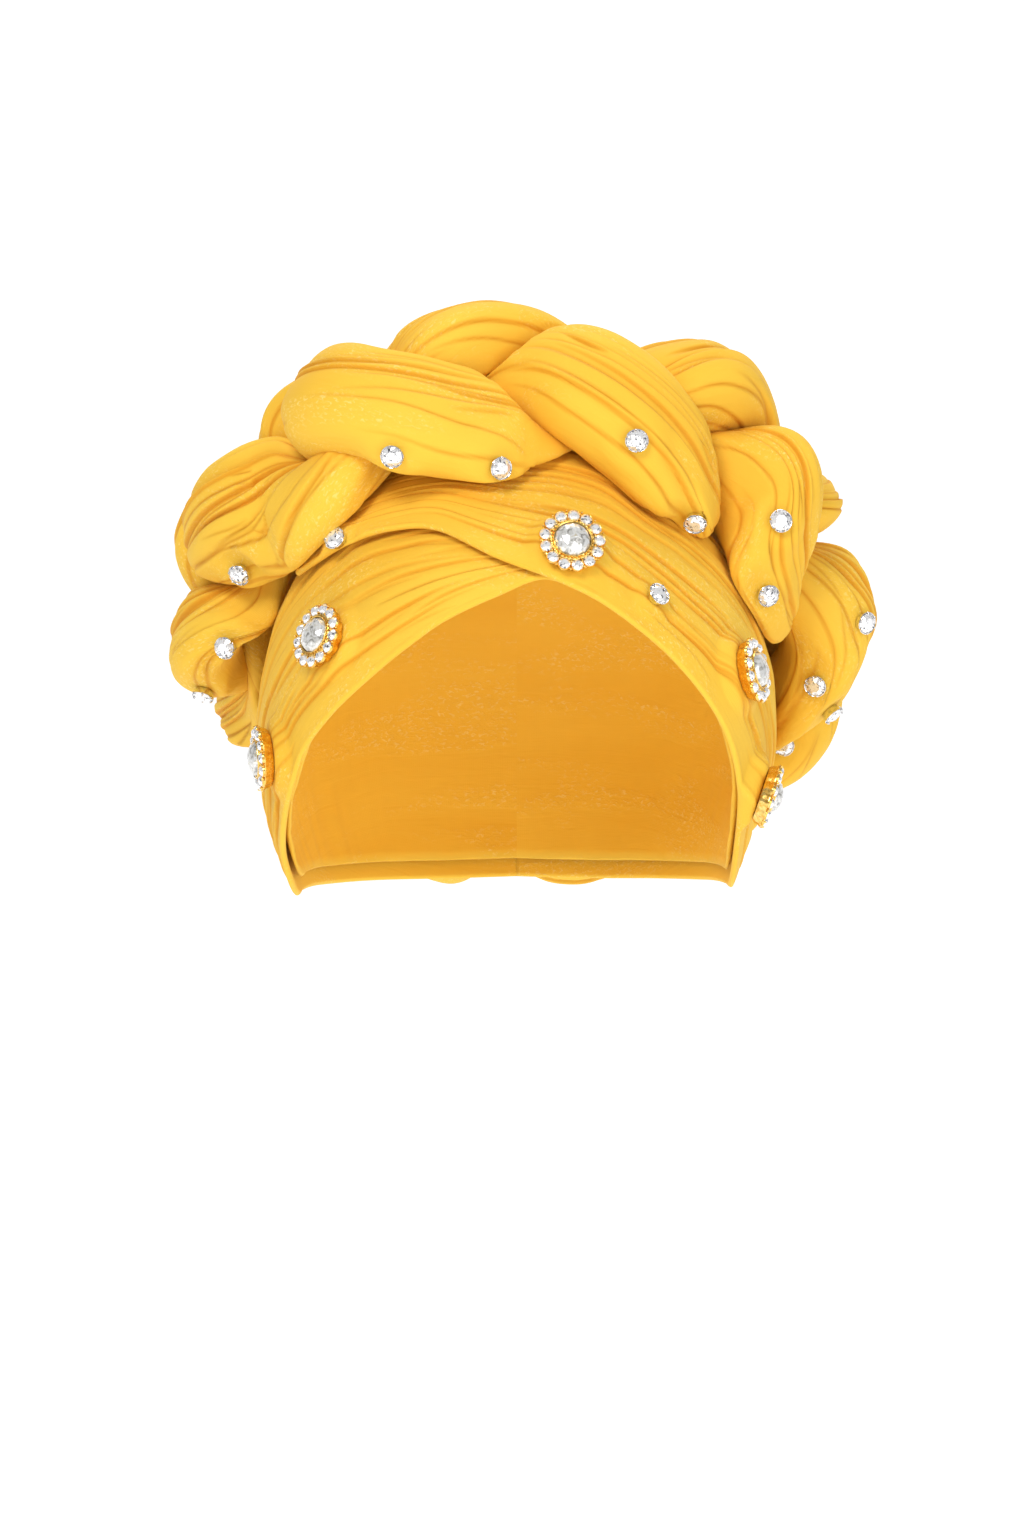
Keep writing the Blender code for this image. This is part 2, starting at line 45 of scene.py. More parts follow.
HEAD_HALF = np.array([72.5, 91.5, 85.0]) * MM
HEAD_HALF_BELOW = 92.0 * MM
HEAD_SQUARENESS = 2.35
LEFT_NARROWER = 0.05
NARROWING_DEPTH = 35.0 * MM

CAP_WALL = 1.2 * MM
WRAP_WALL = 2.0 * MM
WRAP_LIFT = 4.9 * MM
OVER_WRAP_LIFT = 3.6 * MM
OVER_ENDS, OVER_EASES = 12, 14  # degrees where the over wrap comes off the under one, and eases down
ROOM_FROM, ROOM_WITHIN = -68, 10    # degrees where the plait makes room for the over wrap
FOLD_HIGHEST = 0.5 * MM
SEAM = 0.4 * MM

# Rows along a wrap in degrees: azimuth and elevation of its rim, then of its upper edge
WRAP_OVER = [
    (-56, 30.5, -61, 37), (-47, 32.5, -56, 44), (-38, 35, -47, 50), (-28, 36.5, -34, 54),
    (-17, 36, -18, 56), (-4, 30, 0, 57), (6, 26, 14, 57),
    (16, 21, 28, 54), (25, 15.5, 40, 49), (33, 8.5, 52, 43), (40, 1.5, 62, 37), (45.5, -5.5, 73, 29),
    (50.5, -12, 82, 21), (56.5, -20, 90, 12), (64, -28.5, 98, 4), (74, -34, 108, -3),
    (87, -36, 120, -8), (105, -35, 134, -11), (127, -32, 148, -12), (152, -29, 163, -12),
    (180, -28, 180, -12),
]
WRAP_UNDER = [
    (13, 24, 12, 32), (5, 27, 3, 38), (-4, 23.5, -7, 42), (-13, 19, -18, 45), (-20, 14, -29, 46),
    (-28, 8, -40, 46), (-35.5, 2.5, -51, 41), (-43.5, -4, -62, 35), (-50, -11.5, -73, 27),
    (-59.5, -20, -83, 18), (-70, -27.5, -92, 9), (-78, -33.5, -101, 2), (-91, -36.5, -113, -5),
    (-107, -35, -127, -9), (-127, -32, -143, -11), (-151, -29, -161, -12), (-180, -28, -180, -12),
]
# Line of the plait round the head: angle, x, y, z in mm, and how far its outer side leans up in degrees
RING = np.array([
    (0, 0.0, -41.5, 13.5, 71), (20, 24.5, -38.5, 8.5, 59), (45, 62.0, -18.0, -7.0, 48),
    (68, 77.5, -2.0, -31.5, 36), (90, 83.5, 33.5, -56.0, 20), (115, 78.5, 59.0, -73.5, -13),
    (145, 55.0, 92.0, -93.0, -6), (180, 0.0, 109.0, -100.0, -8), (215, -55.0, 92.0, -93.0, -6),
    (245, -78.0, 59.5, -67.5, 0), (270, -81.0, 22.0, -55.0, 20), (292, -83.5, 3.5, -31.5, 37),
    (315, -60.0, -16.0, -7.5, 53), (340, -35.5, -44.0, 9.0, 70),
])
# Lobes at the rim side of the plait: angle, and the size of the rolls there on their rim and crown sides
LOBES = np.array([
    (-107, 0.65, 0.71), (-79, 0.85, 0.80), (-45, 0.94, 0.91), (-12, 0.95, 1.00), (32, 0.98, 1.03),
    (62, 1.06, 1.02), (89, 0.88, 0.98), (124, 0.85, 0.80), (146, 0.88, 0.88), (171, 0.88, 0.88),
    (196, 0.88, 0.85), (224, 0.82, 0.80),
])
# Where a roll swells towards the rim or stands out, beyond its solid
SWELLS = [
    # its number, angle, half length in degrees, swell and stand-out in mm
    (2, -36, 38, 8.0, 0.0),
    (2, -44, 34, 0.0, 4.5),
    (2, -21, 16, 3.0, 0.0),
    (1, 46, 30, 5.0, 0.0),
    (2, 56, 18, 3.0, 0.0),
    (0, 38, 24, 0.0, 2.5),
    (0, -60, 24, 0.0, 2.5),
    (1, -79, 26, 0.0, 1.5),
    (0, 98, 26, 3.0, 0.0),
    (1, -70, 26, 2.0, 0.0),
]
PLAIT_HALF_WIDTH, PLAIT_HALF_HEIGHT = 18.2 * MM, 9.0 * MM
ROLL_HALF_WIDTH, ROLL_HALF_HEIGHT = 17.0 * MM, 14.3 * MM
ROLL_TURN = 0.28
WIDER, HIGHER = 0.06, 0.08      # how much a roll's section changes as it passes from side to side
OUTLINE_POWER = 2.2
FULLNESS = 1.3
UNDERSIDE = 1.45
BEND_RADIUS = 95.0 * MM
LEAST_REACH = 0.6 * MM
CLEAR_REACH = 1.3               # where nothing presses, in shares of the free form
ON_TOP = 0.15, 0.70             # share of its form that a roll keeps under another, and more on top of it
ON_TOP_WITHIN = 2.4             # half heights of the plait over which one roll comes on top of another
HEAD_MEAN = 82 * MM             # mean half width of the head, which turns a gauge into a length
SEARCHES = 14                   # halvings in the search for where a roll meets its neighbours

# Fineness of the cloth: grids of points on a roll, a wrap and the cap
ROLL_SLICES, ROLL_POINTS = 540, 176
OUTER_SHARE = 0.45              # how much closer the points lie on the outer side of a roll
WRAP_ROWS, WRAP_COLUMNS, WRAP_INSIDE = 380, 150, 16
RIM_CLOSER, RIM_STEPS = 1.25, 8     # how much closer the points lie at a wrap's rim, and steps round it
CAP_COLUMNS, CAP_ROWS = 300, 60

# The cap in degrees and mm: how its gathers fade in and out, their height, and its slack inner face
CAP_FOLLOWS = (WRAP_UNDER, 1.3), (WRAP_OVER, 6)     # the rims that its own follows, from which row on
CAP_OVER_RIM, CAP_TOP = 2.4, 89.6
GATHERS_FROM, GATHERS_WITHIN = 20, 30
CROWN_FROM, CROWN_WITHIN = 89, 25
GATHER_HEIGHT = 1.6 * MM
CAP_INSIDE_SLACK = 0.6 * MM

# Section of a fold in mm: width of its soft side, of its sharp side and of the lip beside it
FOLD_SOFT, FOLD_SHARP, LIP_WIDTH, LIP_SHARE = 2.0, 0.35, 3.0, 0.6
LINE_WIDTH = 0.6                # half width of the painted shade, a deeper colour, down in a fold
NARROWEST = 0.45                # folds shrink with a narrowing band down to this share of its usual width

# Slices and points over which the form of a roll is evened out: everywhere, and where a bend pinches its
# slices closer than PINCHED_BELOW of their distance along the core
REACH_BLUR = 3.5, 2.0
PINCH_BLUR = 16, 3
PINCHED_BELOW, PINCHED_WITHIN = 0.85, 0.4
RATE_BLUR = 6, 4

# Where a roll ends bluntly between two others: its number, angle and half length in degrees
BLUNT = [(1, 64, 24), (1, 46, 14), (2, 76, 14)]
BLUNT_BLUR, BLUNT_LIMIT = (9, 12), 1.01     # it stands out this much more than when evened out, at most

# Folds of each lobe on its face side and its crown side: how many, how deep in mm, share of its length
LOBE_FOLDS = [
    # face count, depth, length, crown count, depth, length
    (8, 1.3, 0.9, 9, 1.2, 0.8),
    (9, 1.3, 0.9, 9, 1.3, 0.8),
    (11, 1.4, 1.0, 6, 1.4, 0.9),
    (6, 1.0, 0.5, 11, 1.3, 0.7),
    (9, 1.3, 0.9, 9, 1.3, 0.8),
    (10, 1.4, 0.9, 9, 1.3, 0.8),
    (10, 1.4, 0.9, 9, 1.3, 0.8),
] + 5 * [(7, 1.2, 0.9, 7, 1.2, 0.8)]
LOBE_HALF_LENGTH = 36.0         # degrees round the head
WRINKLES = (13, 0.9, 0.2)       # the same for short wrinkles between the folds
FACE_SPAN, CROWN_SPAN = (-0.31, 0.44), (-0.42, 0.33)    # shares of the way round a roll from its outer side

# Long folds on the lobes that the front shows
LONG_FOLDS = [
    # roll, angle, half length in degrees, how many, depth in mm, from and to share
    (0, -20, 24, 3, 0.9, -0.08, 0.06),
    (0, -10, 15, 4, 0.9, 0.06, 0.32),
    (1, 22, 26, 6, 1.4, -0.16, 0.34),
    (2, 2, 22, 4, 1.3, 0.12, 0.40),
    (0, 40, 22, 5, 1.4, -0.02, 0.38),
    (2, 60, 26, 6, 1.5, -0.14, 0.33),
    (0, 80, 24, 5, 1.5, -0.16, 0.38),
    (2, -44, 34, 8, 1.6, -0.18, 0.34),
    (1, -78, 26, 5, 1.5, -0.14, 0.38),
    (0, -104, 22, 4, 1.4, -0.04, 0.42),
]
LONG_LEAST = 0.7                # least length and depth of a long fold, in shares of its row's

# On the rolls: share of the folds' depth left where others press, where the roll comes free, and its waves
PRESSED_FOLDS = 0.6
FREE_FROM, FREE_WITHIN = 0.82, 0.15
WAVE_HEIGHT, WAVE_LENGTH = 0.9, 20
FOLD_WANDER, FOLD_WANDER_LENGTH = 0.018, 26

# Pleats along a wrap: middle and half length in rows of its table, how many, depth in mm, from and to share
OVER_FOLDS = [
    # middle, half, count, depth, from, to
    (3.5, 4.2, 6, 1.0, 0.1, 0.9),
    (7.0, 4.4, 7, 1.1, 0.08, 0.9),
    (10.5, 4.0, 7, 1.1, 0.06, 0.9),
    (13.5, 3.6, 7, 1.1, 0.06, 0.9),
    (17.0, 3.6, 8, 1.1, 0.05, 0.95),
]
UNDER_FOLDS = [
    (2.5, 3.2, 6, 1.0, 0.06, 0.9),
    (5.5, 3.6, 7, 1.1, 0.06, 0.9),
    (8.5, 3.4, 7, 1.2, 0.05, 0.9),
    (11.0, 3.0, 7, 1.1, 0.05, 0.9),
    (13.5, 3.4, 7, 1.1, 0.05, 0.95),
]
SHORT_PLEATS = 0.5, 0.35        # depth and length of the short pleats between them, in shares

# On the wraps in mm: how far the pleats wander, the waves between them and the deepest pleat
PLEAT_WANDER, PLEAT_WANDER_LENGTH = 1.2, 24
RIPPLE_HEIGHT, RIPPLE_LENGTH, RIPPLE_SINK = 0.35, 15, 0.1
DEEPEST_PLEAT = 1.5
PLAIN_RIM, PLAIN_END = 0.03, 0.4    # share of the width, and rows of the table, that stay plain

# Cloth drawn to the stones: their feet, how far it eases out on wraps and rolls, and how deep it reaches
BROOCH_FOOT, CRYSTAL_FOOT = 8.6 * MM, 3.6 * MM
WRAP_EASE, ROLL_EASE = 5.0 * MM, 9.0 * MM
WRAP_REACH, ROLL_REACH = 4.0 * MM, 5.0 * MM
FOOT_SINK = 0.15 * MM
LEVEL = 0.05 * MM               # points of a solid count as its foot or its top within this height


def unit(vectors):
    return vectors / np.linalg.norm(vectors, axis=-1, keepdims=True)


def head_gauge(points, lift):
    """1 on the surface that stands `lift` off the head, less inside it."""
    q = np.abs(points - HEAD_CENTRE)
    below = smooth_step((HEAD_CENTRE[2] - points[..., 2]) / NARROWING_DEPTH)
    width = (HEAD_HALF[0] + lift) * (1 - LEFT_NARROWER * below * (points[..., 0] > HEAD_CENTRE[0]))
    plan = (q[..., 0] / width) ** HEAD_SQUARENESS + (q[..., 1] / (HEAD_HALF[1] + lift)) ** HEAD_SQUARENESS
    plan = plan ** (1 / HEAD_SQUARENESS)
    down = np.where(points[..., 2] > HEAD_CENTRE[2], HEAD_HALF[2], HEAD_HALF_BELOW) + lift
    return np.sqrt(plan ** 2 + (q[..., 2] / down) ** 2)


def toward(azimuth, elevation):
    a, e = np.radians(azimuth), np.radians(elevation)
    return np.stack([np.sin(a) * np.cos(e), -np.cos(a) * np.cos(e), np.sin(e)], axis=-1)


def on_head(direction, lift):
    """The point in this direction from the head centre that stands `lift` off the head."""
    direction = unit(direction)
    point = HEAD_CENTRE + direction * HEAD_HALF[2]
    for _ in range(4):
        point = HEAD_CENTRE + (point - HEAD_CENTRE) / head_gauge(point, lift)[..., None]
    return point


def smooth_step(x):
    x = np.clip(x, 0.0, 1.0)
    return x * x * (3 - 2 * x)


def over_wrap_lift(azimuth):
    """Where the over wrap lies on the under one: 1 there, 0 beyond the brow."""
    return 1 - smooth_step((azimuth - OVER_ENDS) / OVER_EASES)


def closed_curve(table, column, angle):
    """One column of a table of angles, as a smooth curve that closes on itself."""
    knots, values = table[:, 0], table[:, column]
    count = len(knots)
    angle = (angle - knots[0]) % 360 + knots[0]
    i = np.clip(np.searchsorted(knots, angle, side="right") - 1, 0, count - 1)
    after, before, beyond = (i + 1) % count, (i - 1) % count, (i + 2) % count
    gap = lambda a, b: (knots[b] - knots[a]) % 360
    h, hb, ha = gap(i, after), gap(before, i), gap(after, beyond)
    v0, v1 = values[i], values[after]
    s0, s1 = (v0 - values[before]) / hb, (values[beyond] - v1) / ha
    s = (v1 - v0) / h
    m0, m1 = (s0 * h + s * hb) / (h + hb), (s * ha + s1 * h) / (h + ha)
    t = (angle - knots[i]) / h
    return ((2 * t ** 3 - 3 * t ** 2 + 1) * v0 + (t ** 3 - 2 * t ** 2 + t) * h * m0
            + (3 * t ** 2 - 2 * t ** 3) * v1 + (t ** 3 - t ** 2) * h * m1)


def open_curve(rows, at):
    """All columns of a table, as a smooth curve through its rows."""
    rows = np.asarray(rows, float)
    i = np.clip(np.floor(at).astype(int), 0, len(rows) - 2)
    t = (at - i)[:, None]
    p0, p1 = rows[np.maximum(i - 1, 0)], rows[i]
    p2, p3 = rows[i + 1], rows[np.minimum(i + 2, len(rows) - 1)]
    return 0.5 * (2 * p1 + (p2 - p0) * t + (2 * p0 - 5 * p1 + 4 * p2 - p3) * t ** 2
                  + (3 * p1 - p0 - 3 * p2 + p3) * t ** 3)


def ring_frame(angle):
    """The plait's line, and the directions along it, to its crown side and outward."""
    def centre(at):
        return np.stack([closed_curve(RING, c, at) for c in (1, 2, 3)], axis=-1) * MM
    along = unit(centre(angle + 0.5) - centre(angle - 0.5))
    lean = np.radians(closed_curve(RING, 4, angle))[..., None]
    level = unit(np.stack([along[..., 1], -along[..., 0], np.zeros_like(angle)], axis=-1))
    out = level * np.cos(lean) + np.array([0.0, 0.0, 1.0]) * np.sin(lean)
    out = unit(out - along * np.sum(out * along, axis=-1, keepdims=True))
    return centre(angle), along, np.cross(out, along), out


def plait_phase(angle):
    knots = LOBES[:, 0]
    count = len(knots)
    even = np.arange(count) * 360.0 / count - (knots - knots[0])
    shift = closed_curve(np.stack([knots, even], axis=1), 1, angle)
    return ((angle - knots[0]) + shift) / 360.0 * count * 2 * np.pi / 3


def roll_section(angle, number):
    """Section of one roll: place across and out, turn, half width and half height."""
    t = plait_phase(angle) + 1.5 * np.pi - 2 * np.pi * number / 3
    crown_side = 0.5 + 0.5 * np.sin(t)
    size = closed_curve(LOBES, 1, angle) * (1 - crown_side) + closed_curve(LOBES, 2, angle) * crown_side
    across = PLAIT_HALF_WIDTH * size * np.sin(t)
    out = PLAIT_HALF_HEIGHT * size * np.sin(2 * t)
    half_width = ROLL_HALF_WIDTH * size * (1 + WIDER * np.sin(2 * t))
    for own, middle, half, swell, stand in SWELLS:
        away = np.abs((angle - middle + 180) % 360 - 180) / half
        share = MM * (1 - smooth_step(away)) * (own == number)
        across, half_width = across - share * swell / 2, half_width + share * swell / 2
        out = out + share * stand
    half_height = ROLL_HALF_HEIGHT * size * (1 + HIGHER * np.sin(2 * t))
    return across, out, -ROLL_TURN * np.sin(t), half_width, half_height


def section_gauge(across, out, section):
    a0, o0, turn, half_width, half_height = section
    da, do = across - a0, out - o0
    a = da * np.cos(turn) + do * np.sin(turn)
    b = do * np.cos(turn) - da * np.sin(turn)
    return (np.abs(a / half_width) ** OUTLINE_POWER + np.abs(b / half_height) ** OUTLINE_POWER) ** (
        1 / OUTLINE_POWER)


def rest_height(points):
    d = points - HEAD_CENTRE
    azimuth = np.degrees(np.arctan2(d[..., 0], -d[..., 1]))
    lifted = over_wrap_lift(azimuth) * smooth_step((azimuth - ROOM_FROM) / ROOM_WITHIN)
    return WRAP_LIFT + FOLD_HIGHEST + OVER_WRAP_LIFT * lifted


def blurred(field, rows, columns):
    """Values on a grid closed both ways, evened out over this many rows and columns."""
    down = np.fft.fftfreq(field.shape[0])[:, None] * rows
    across = np.fft.rfftfreq(field.shape[1])[None, :] * columns
    kept = np.exp(-2 * np.pi ** 2 * (down ** 2 + across ** 2))
    return np.fft.irfft2(np.fft.rfft2(field) * kept, s=field.shape)


def roll_surface(number, slices, points, gap=SEAM, softness=14):
    """Grid of points on one roll, its core, how free each point stands, and the angle of each slice."""
    angle = (np.arange(slices) * 360.0 / slices)[:, None]
    even = (np.arange(points) / points * 2 * np.pi - np.pi / 2)[None, :]
    beta = even + OUTER_SHARE * np.cos(even)
    centre, _, crown, outward = ring_frame(angle)
    own = roll_section(angle, number)
    others = [roll_section(angle, n) for n in range(3) if n != number]
    a0, o0, turn, half_width, half_height = own
    depth = np.where(np.sin(beta) < 0, half_height * UNDERSIDE, half_height)
    free = (np.abs(np.cos(beta) / (half_width * FULLNESS)) ** OUTLINE_POWER
            + np.abs(np.sin(beta) / depth) ** OUTLINE_POWER) ** (-1 / OUTLINE_POWER)
    da = np.cos(beta) * np.cos(turn) - np.sin(beta) * np.sin(turn)
    do = np.cos(beta) * np.sin(turn) + np.sin(beta) * np.cos(turn)

    def place(reach):
        across, out = a0 + reach * da, o0 + reach * do
        bent = out - across ** 2 / (2 * BEND_RADIUS)
        return across, out, centre + across[..., None] * crown + bent[..., None] * outward

    def blocked(reach):
        across, out, spot = place(reach)
        inside_own = (section_gauge(across, out, own) - 1) * half_height
        worst = np.full(reach.shape, -1.0)
        for other in others:
            above = (o0 - other[1]) / (ON_TOP_WITHIN * PLAIT_HALF_HEIGHT)
            on_top = ON_TOP[0] + ON_TOP[1] * smooth_step(above + 0.5)
            outside_other = (section_gauge(across, out, other) - 1) * other[4]
            worst = np.maximum(worst, on_top * inside_own - (1 - on_top) * outside_other + gap / 2)
        rest = rest_height(spot)
        return (worst > 0) | (head_gauge(spot, 0.0) < 1 + (rest + gap) / HEAD_MEAN)

    low, high = np.zeros(free.shape), free.copy()
    clear = ~blocked(free)
    for _ in range(SEARCHES):
        middle = (low + high) / 2
        hit = blocked(middle)
        high, low = np.where(hit, middle, high), np.where(hit, low, middle)
    pressed = np.maximum(np.where(clear, free * CLEAR_REACH, low), LEAST_REACH)
    reach = (free ** -softness + pressed ** -softness) ** (-1 / softness)
    for roll, middle, half in BLUNT:
        away = np.abs((angle - middle + 180) % 360 - 180) / half
        limit = np.minimum(reach, BLUNT_LIMIT * blurred(reach, *BLUNT_BLUR))
        reach = reach + (1 - smooth_step(away)) * (roll == number) * (limit - reach)
    reach = blurred(reach, *REACH_BLUR)
    surface, core = place(reach)[2], place(np.zeros(free.shape))[2][:, :1]
    steps = [np.linalg.norm(np.roll(p, -1, 0) - np.roll(p, 1, 0), axis=-1) for p in (surface, core)]
    closer = smooth_step((PINCHED_BELOW - steps[0] / steps[1]) / PINCHED_WITHIN)
    pinched = blurred(closer, *REACH_BLUR)[..., None]
    even_surface = np.stack([blurred(surface[..., i], *PINCH_BLUR) for i in range(3)], axis=-1)
    return surface + pinched * (even_surface - surface), core, reach / free, angle


# Smooth noise, seeded
_table = np.random.default_rng(7).permutation(4096)
_gradients = np.random.default_rng(8).normal(size=(4096, 3))
_gradients /= np.linalg.norm(_gradients, axis=1, keepdims=True)


def noise(x, y, z, seed=0):
    """Gradient noise, about -1 to 1, at points given by three arrays."""
    x, y, z = np.broadcast_arrays(x + seed * 17.13, y + seed * 5.71, z - seed * 9.37)
    xi, yi, zi = np.floor(x).astype(int), np.floor(y).astype(int), np.floor(z).astype(int)
    xf, yf, zf = x - xi, y - yi, z - zi
    ease = [f ** 3 * (f * (f * 6 - 15) + 10) for f in (xf, yf, zf)]
    total = 0.0
    for cx in (0, 1):
        for cy in (0, 1):
            for cz in (0, 1):
                index = _table[(_table[(_table[(xi + cx) & 4095] + yi + cy) & 4095] + zi + cz) & 4095]
                g = _gradients[index]
                dot = g[..., 0] * (xf - cx) + g[..., 1] * (yf - cy) + g[..., 2] * (zf - cz)
                weight = 1.0
                for corner, e in zip((cx, cy, cz), ease):
                    weight = weight * (e if corner else 1 - e)
                total = total + weight * dot
    return total * 1.5


def noise_over(points, length, seed):
    """Noise at points in metres, with swells about this many mm long."""
    return noise(*(points[..., i] / MM / length for i in range(3)), seed)


def crease(value, sharp=0.06):
    """0 in the bottom of a crease, rising to 1 on the swell between two of them."""
    return np.sqrt(value ** 2 + sharp ** 2) - sharp


def fold_heights(along, across, rate, span, folds):
    """Heights of folds in mm, and 0 to 1 for the painted shade down in them; rate is the mm of cloth in one
    unit across.
    """
    height, painted_fold_shade = np.zeros(across.shape), np.zeros(across.shape)
    usual = np.median(span)
    for middle, half, place, drift, bow, depth, side, period in folds:
        u = along - middle
        if period:
            u = (u + period / 2) % period - period / 2
        u = u / half
        near = np.flatnonzero(np.abs(u) < 1)
        u = u[near]
        room = np.clip(span[near] / usual, NARROWEST, 1)[:, None]
        strength = depth * ((1 - u ** 2) ** 0.8)[:, None] * room
        s = side * (across[near] - (place + drift * u + bow * u ** 2)[:, None]) * rate[near] / room
        soft = -np.exp(np.minimum(s, 0) / FOLD_SOFT)
        past = np.maximum(s, 0)
        sharp = -np.exp(-past / FOLD_SHARP)
        lip = LIP_SHARE * (1 - np.exp(-past / FOLD_SHARP)) * np.exp(-past / LIP_WIDTH)
        height[near] += strength * np.where(s < 0, soft, sharp + lip)
        # Painted shade: how far down in a fold each point lies, for a deeper colour there
        painted_fold_shade[near] = np.maximum(painted_fold_shade[near], np.minimum(1.25 * strength, 1) * np.exp(-(s / LINE_WIDTH) ** 2))
    return height, painted_fold_shade


def draw_folds(rng, middle, half, count, depth, low, high, length=1.0, period=0.0, least=0.4):
    """Folds side by side on one stretch of cloth, no two alike: middle, half length, place, drift, bow,
    depth, which side is the sharp one, and the period of the ring that they lie on."""
    folds = []
    for k in range(count):
        place = low + (high - low) * (k + rng.uniform(0.15, 0.85)) / count
        own = half * length * rng.uniform(least, 1.0)
        at = middle + (half - own) * rng.uniform(-0.8, 0.8)
        side = 1 if rng.random() < 0.7 else -1
        folds.append((at, own, place, rng.normal(0, 0.02), rng.normal(0, 0.012),
                      depth * rng.uniform(least + 0.05, 1.0), side, period))
    return folds


def grid_normals(points, closed_rows=True, closed_columns=True):
    def step(axis, closed):
        if closed:
            return np.roll(points, -1, axis) - np.roll(points, 1, axis)
        return np.gradient(points, axis=axis)
    n = np.cross(step(0, closed_rows), step(1, closed_columns))
    return n / np.maximum(np.linalg.norm(n, axis=-1, keepdims=True), 1e-12)


def arc_uv(points, closed_rows=True, closed_columns=True):
    """Lengths along rows and columns in metres, as a UV grid."""
    along = np.concatenate([points, points[:1]], 0) if closed_rows else points
    full = np.concatenate([along, along[:, :1]], 1) if closed_columns else along
    run = np.linalg.norm(np.diff(full, axis=0), axis=-1).mean(axis=1)
    u = np.concatenate([[0], np.cumsum(run)])
    across = np.linalg.norm(np.diff(full, axis=1), axis=-1)
    v = np.concatenate([np.zeros((len(full), 1)), np.cumsum(across, axis=1)], axis=1)
    v = v - v.mean(axis=1, keepdims=True)
    return np.stack([np.broadcast_to(u[:, None], v.shape), v], axis=-1)


def grid_mesh(name, points, closed_rows, shade, flip=False):
    """Mesh of a grid of points that closes across, with its cloth lengths as UVs and the painted shade of its
    creases as an attribute.
    """
    uv = arc_uv(points, closed_rows)
    rows, columns = points.shape[:2]
    index = np.arange(rows * columns).reshape(rows, columns)
    if closed_rows:
        index = np.concatenate([index, index[:1]], axis=0)
    index = np.concatenate([index, index[:, :1]], axis=1)
    spot = np.arange(index.size).reshape(index.shape)

    def corners(grid):
        four = [grid[:-1, :-1], grid[1:, :-1], grid[1:, 1:], grid[:-1, 1:]]
        return np.stack(four[::-1] if flip else four, axis=-1).reshape(-1, 4)

    faces = corners(index)
    mesh = bpy.data.meshes.new(name)
    mesh.vertices.add(rows * columns)
    mesh.vertices.foreach_set("co", points.astype(np.float32).ravel())
    mesh.loops.add(faces.size)
    mesh.loops.foreach_set("vertex_index", faces.astype(np.int32).ravel())
    mesh.polygons.add(len(faces))
    mesh.polygons.foreach_set("loop_start", np.arange(0, faces.size, 4, dtype=np.int32))
    layer = mesh.uv_layers.new(name="cloth")
    layer.data.foreach_set("uv", uv.reshape(-1, 2)[corners(spot).ravel()].astype(np.float32).ravel())
    # Painted shade of the creases, kept on the points for the cloth's colour
    painted_shade_attribute = mesh.attributes.new("crease", "FLOAT", "POINT")
    painted_shade_attribute.data.foreach_set("value", shade.astype(np.float32).ravel())
    mesh.update(calc_edges=True)
    mesh.validate()
    return mesh


def turn_outward(mesh, close=False):
    """Turns all faces outward, after the open ends of a strip are filled where it is to close."""
    bm = bmesh.new()
    bm.from_mesh(mesh)
    if close:
        bmesh.ops.holes_fill(bm, edges=[e for e in bm.edges if e.is_boundary], sides=0)
    bmesh.ops.recalc_face_normals(bm, faces=bm.faces[:])
    bm.to_mesh(mesh)
    bm.free()


def add(name, mesh, *finishes, smooth=True):
    piece = bpy.data.objects.new(name, mesh)
    bpy.context.scene.collection.objects.link(piece)
    for finish in finishes:
        mesh.materials.append(finish)
    if smooth:
        mesh.shade_smooth()
    return piece


def show(piece, node):
    """The piece stands for a solid of the frame and moves with the turban."""
    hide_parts(node)
    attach(piece, "root")
    return piece


# Materials
def new_material(name, settings):
    finish = bpy.data.materials.new(name)
    finish.use_nodes = True
    nodes, links = finish.node_tree.nodes, finish.node_tree.links
    shader = nodes["Principled BSDF"]
    for key, value in settings.items():
        shader.inputs[key].default_value = value
    return finish, nodes, links, shader


def noise_node(nodes, links, vector, scale, detail=2.0, distortion=0.0):
    node = nodes.new("ShaderNodeTexNoise")
    node.inputs["Scale"].default_value = scale
    node.inputs["Detail"].default_value = detail
    node.inputs["Distortion"].default_value = distortion
    links.new(vector, node.inputs["Vector"])
    return node.outputs["Fac"]


def ramp(nodes, links, value, *stops):
    node = nodes.new("ShaderNodeValToRGB")
    elements = node.color_ramp.elements
    while len(elements) < len(stops):
        elements.new(0.5)
    for element, (position, colour) in zip(elements, stops):
        element.position = position
        element.color = (*colour, 1)
    links.new(value, node.inputs["Fac"])
    return node.outputs["Color"]


def blend_colour(nodes, links, share, first, second):
    node = nodes.new("ShaderNodeMix")
    node.data_type = "RGBA"
    links.new(share, node.inputs["Factor"])
    links.new(first, node.inputs["A"])
    if isinstance(second, tuple):
        node.inputs["B"].default_value = (*second, 1)
    else:
        links.new(second, node.inputs["B"])
    return node.outputs["Result"]


def math_node(nodes, links, operation, first, second):
    node = nodes.new("ShaderNodeMath")
    node.operation = operation
    links.new(first, node.inputs[0])
    if isinstance(second, (int, float)):
        node.inputs[1].default_value = second
    else:
        links.new(second, node.inputs[1])
    return node.outputs["Value"]


def bump_node(nodes, links, height, strength, distance, before=None):
    node = nodes.new("ShaderNodeBump")
    node.inputs["Strength"].default_value = strength
    node.inputs["Distance"].default_value = distance
    links.new(height, node.inputs["Height"])
    if before is not None:
        links.new(before, node.inputs["Normal"])
    return node.outputs["Normal"]


def stretched(nodes, links, vector, along, across):
    node = nodes.new("ShaderNodeMapping")
    node.inputs["Scale"].default_value = (along, across, 1)
    links.new(vector, node.inputs["Vector"])
    return node.outputs["Vector"]


# Patterns of the crepe: how fine along and across a metre of cloth, their detail and distortion
DRIFT = (9, 24), 2.0, 0.4
PATCHES = (20, 60), 2.0, 0.8
CRINKLE = (800, 1100), 3.0, 0.8
FINE_WRINKLES = (55, 300), 3.0, 0.9


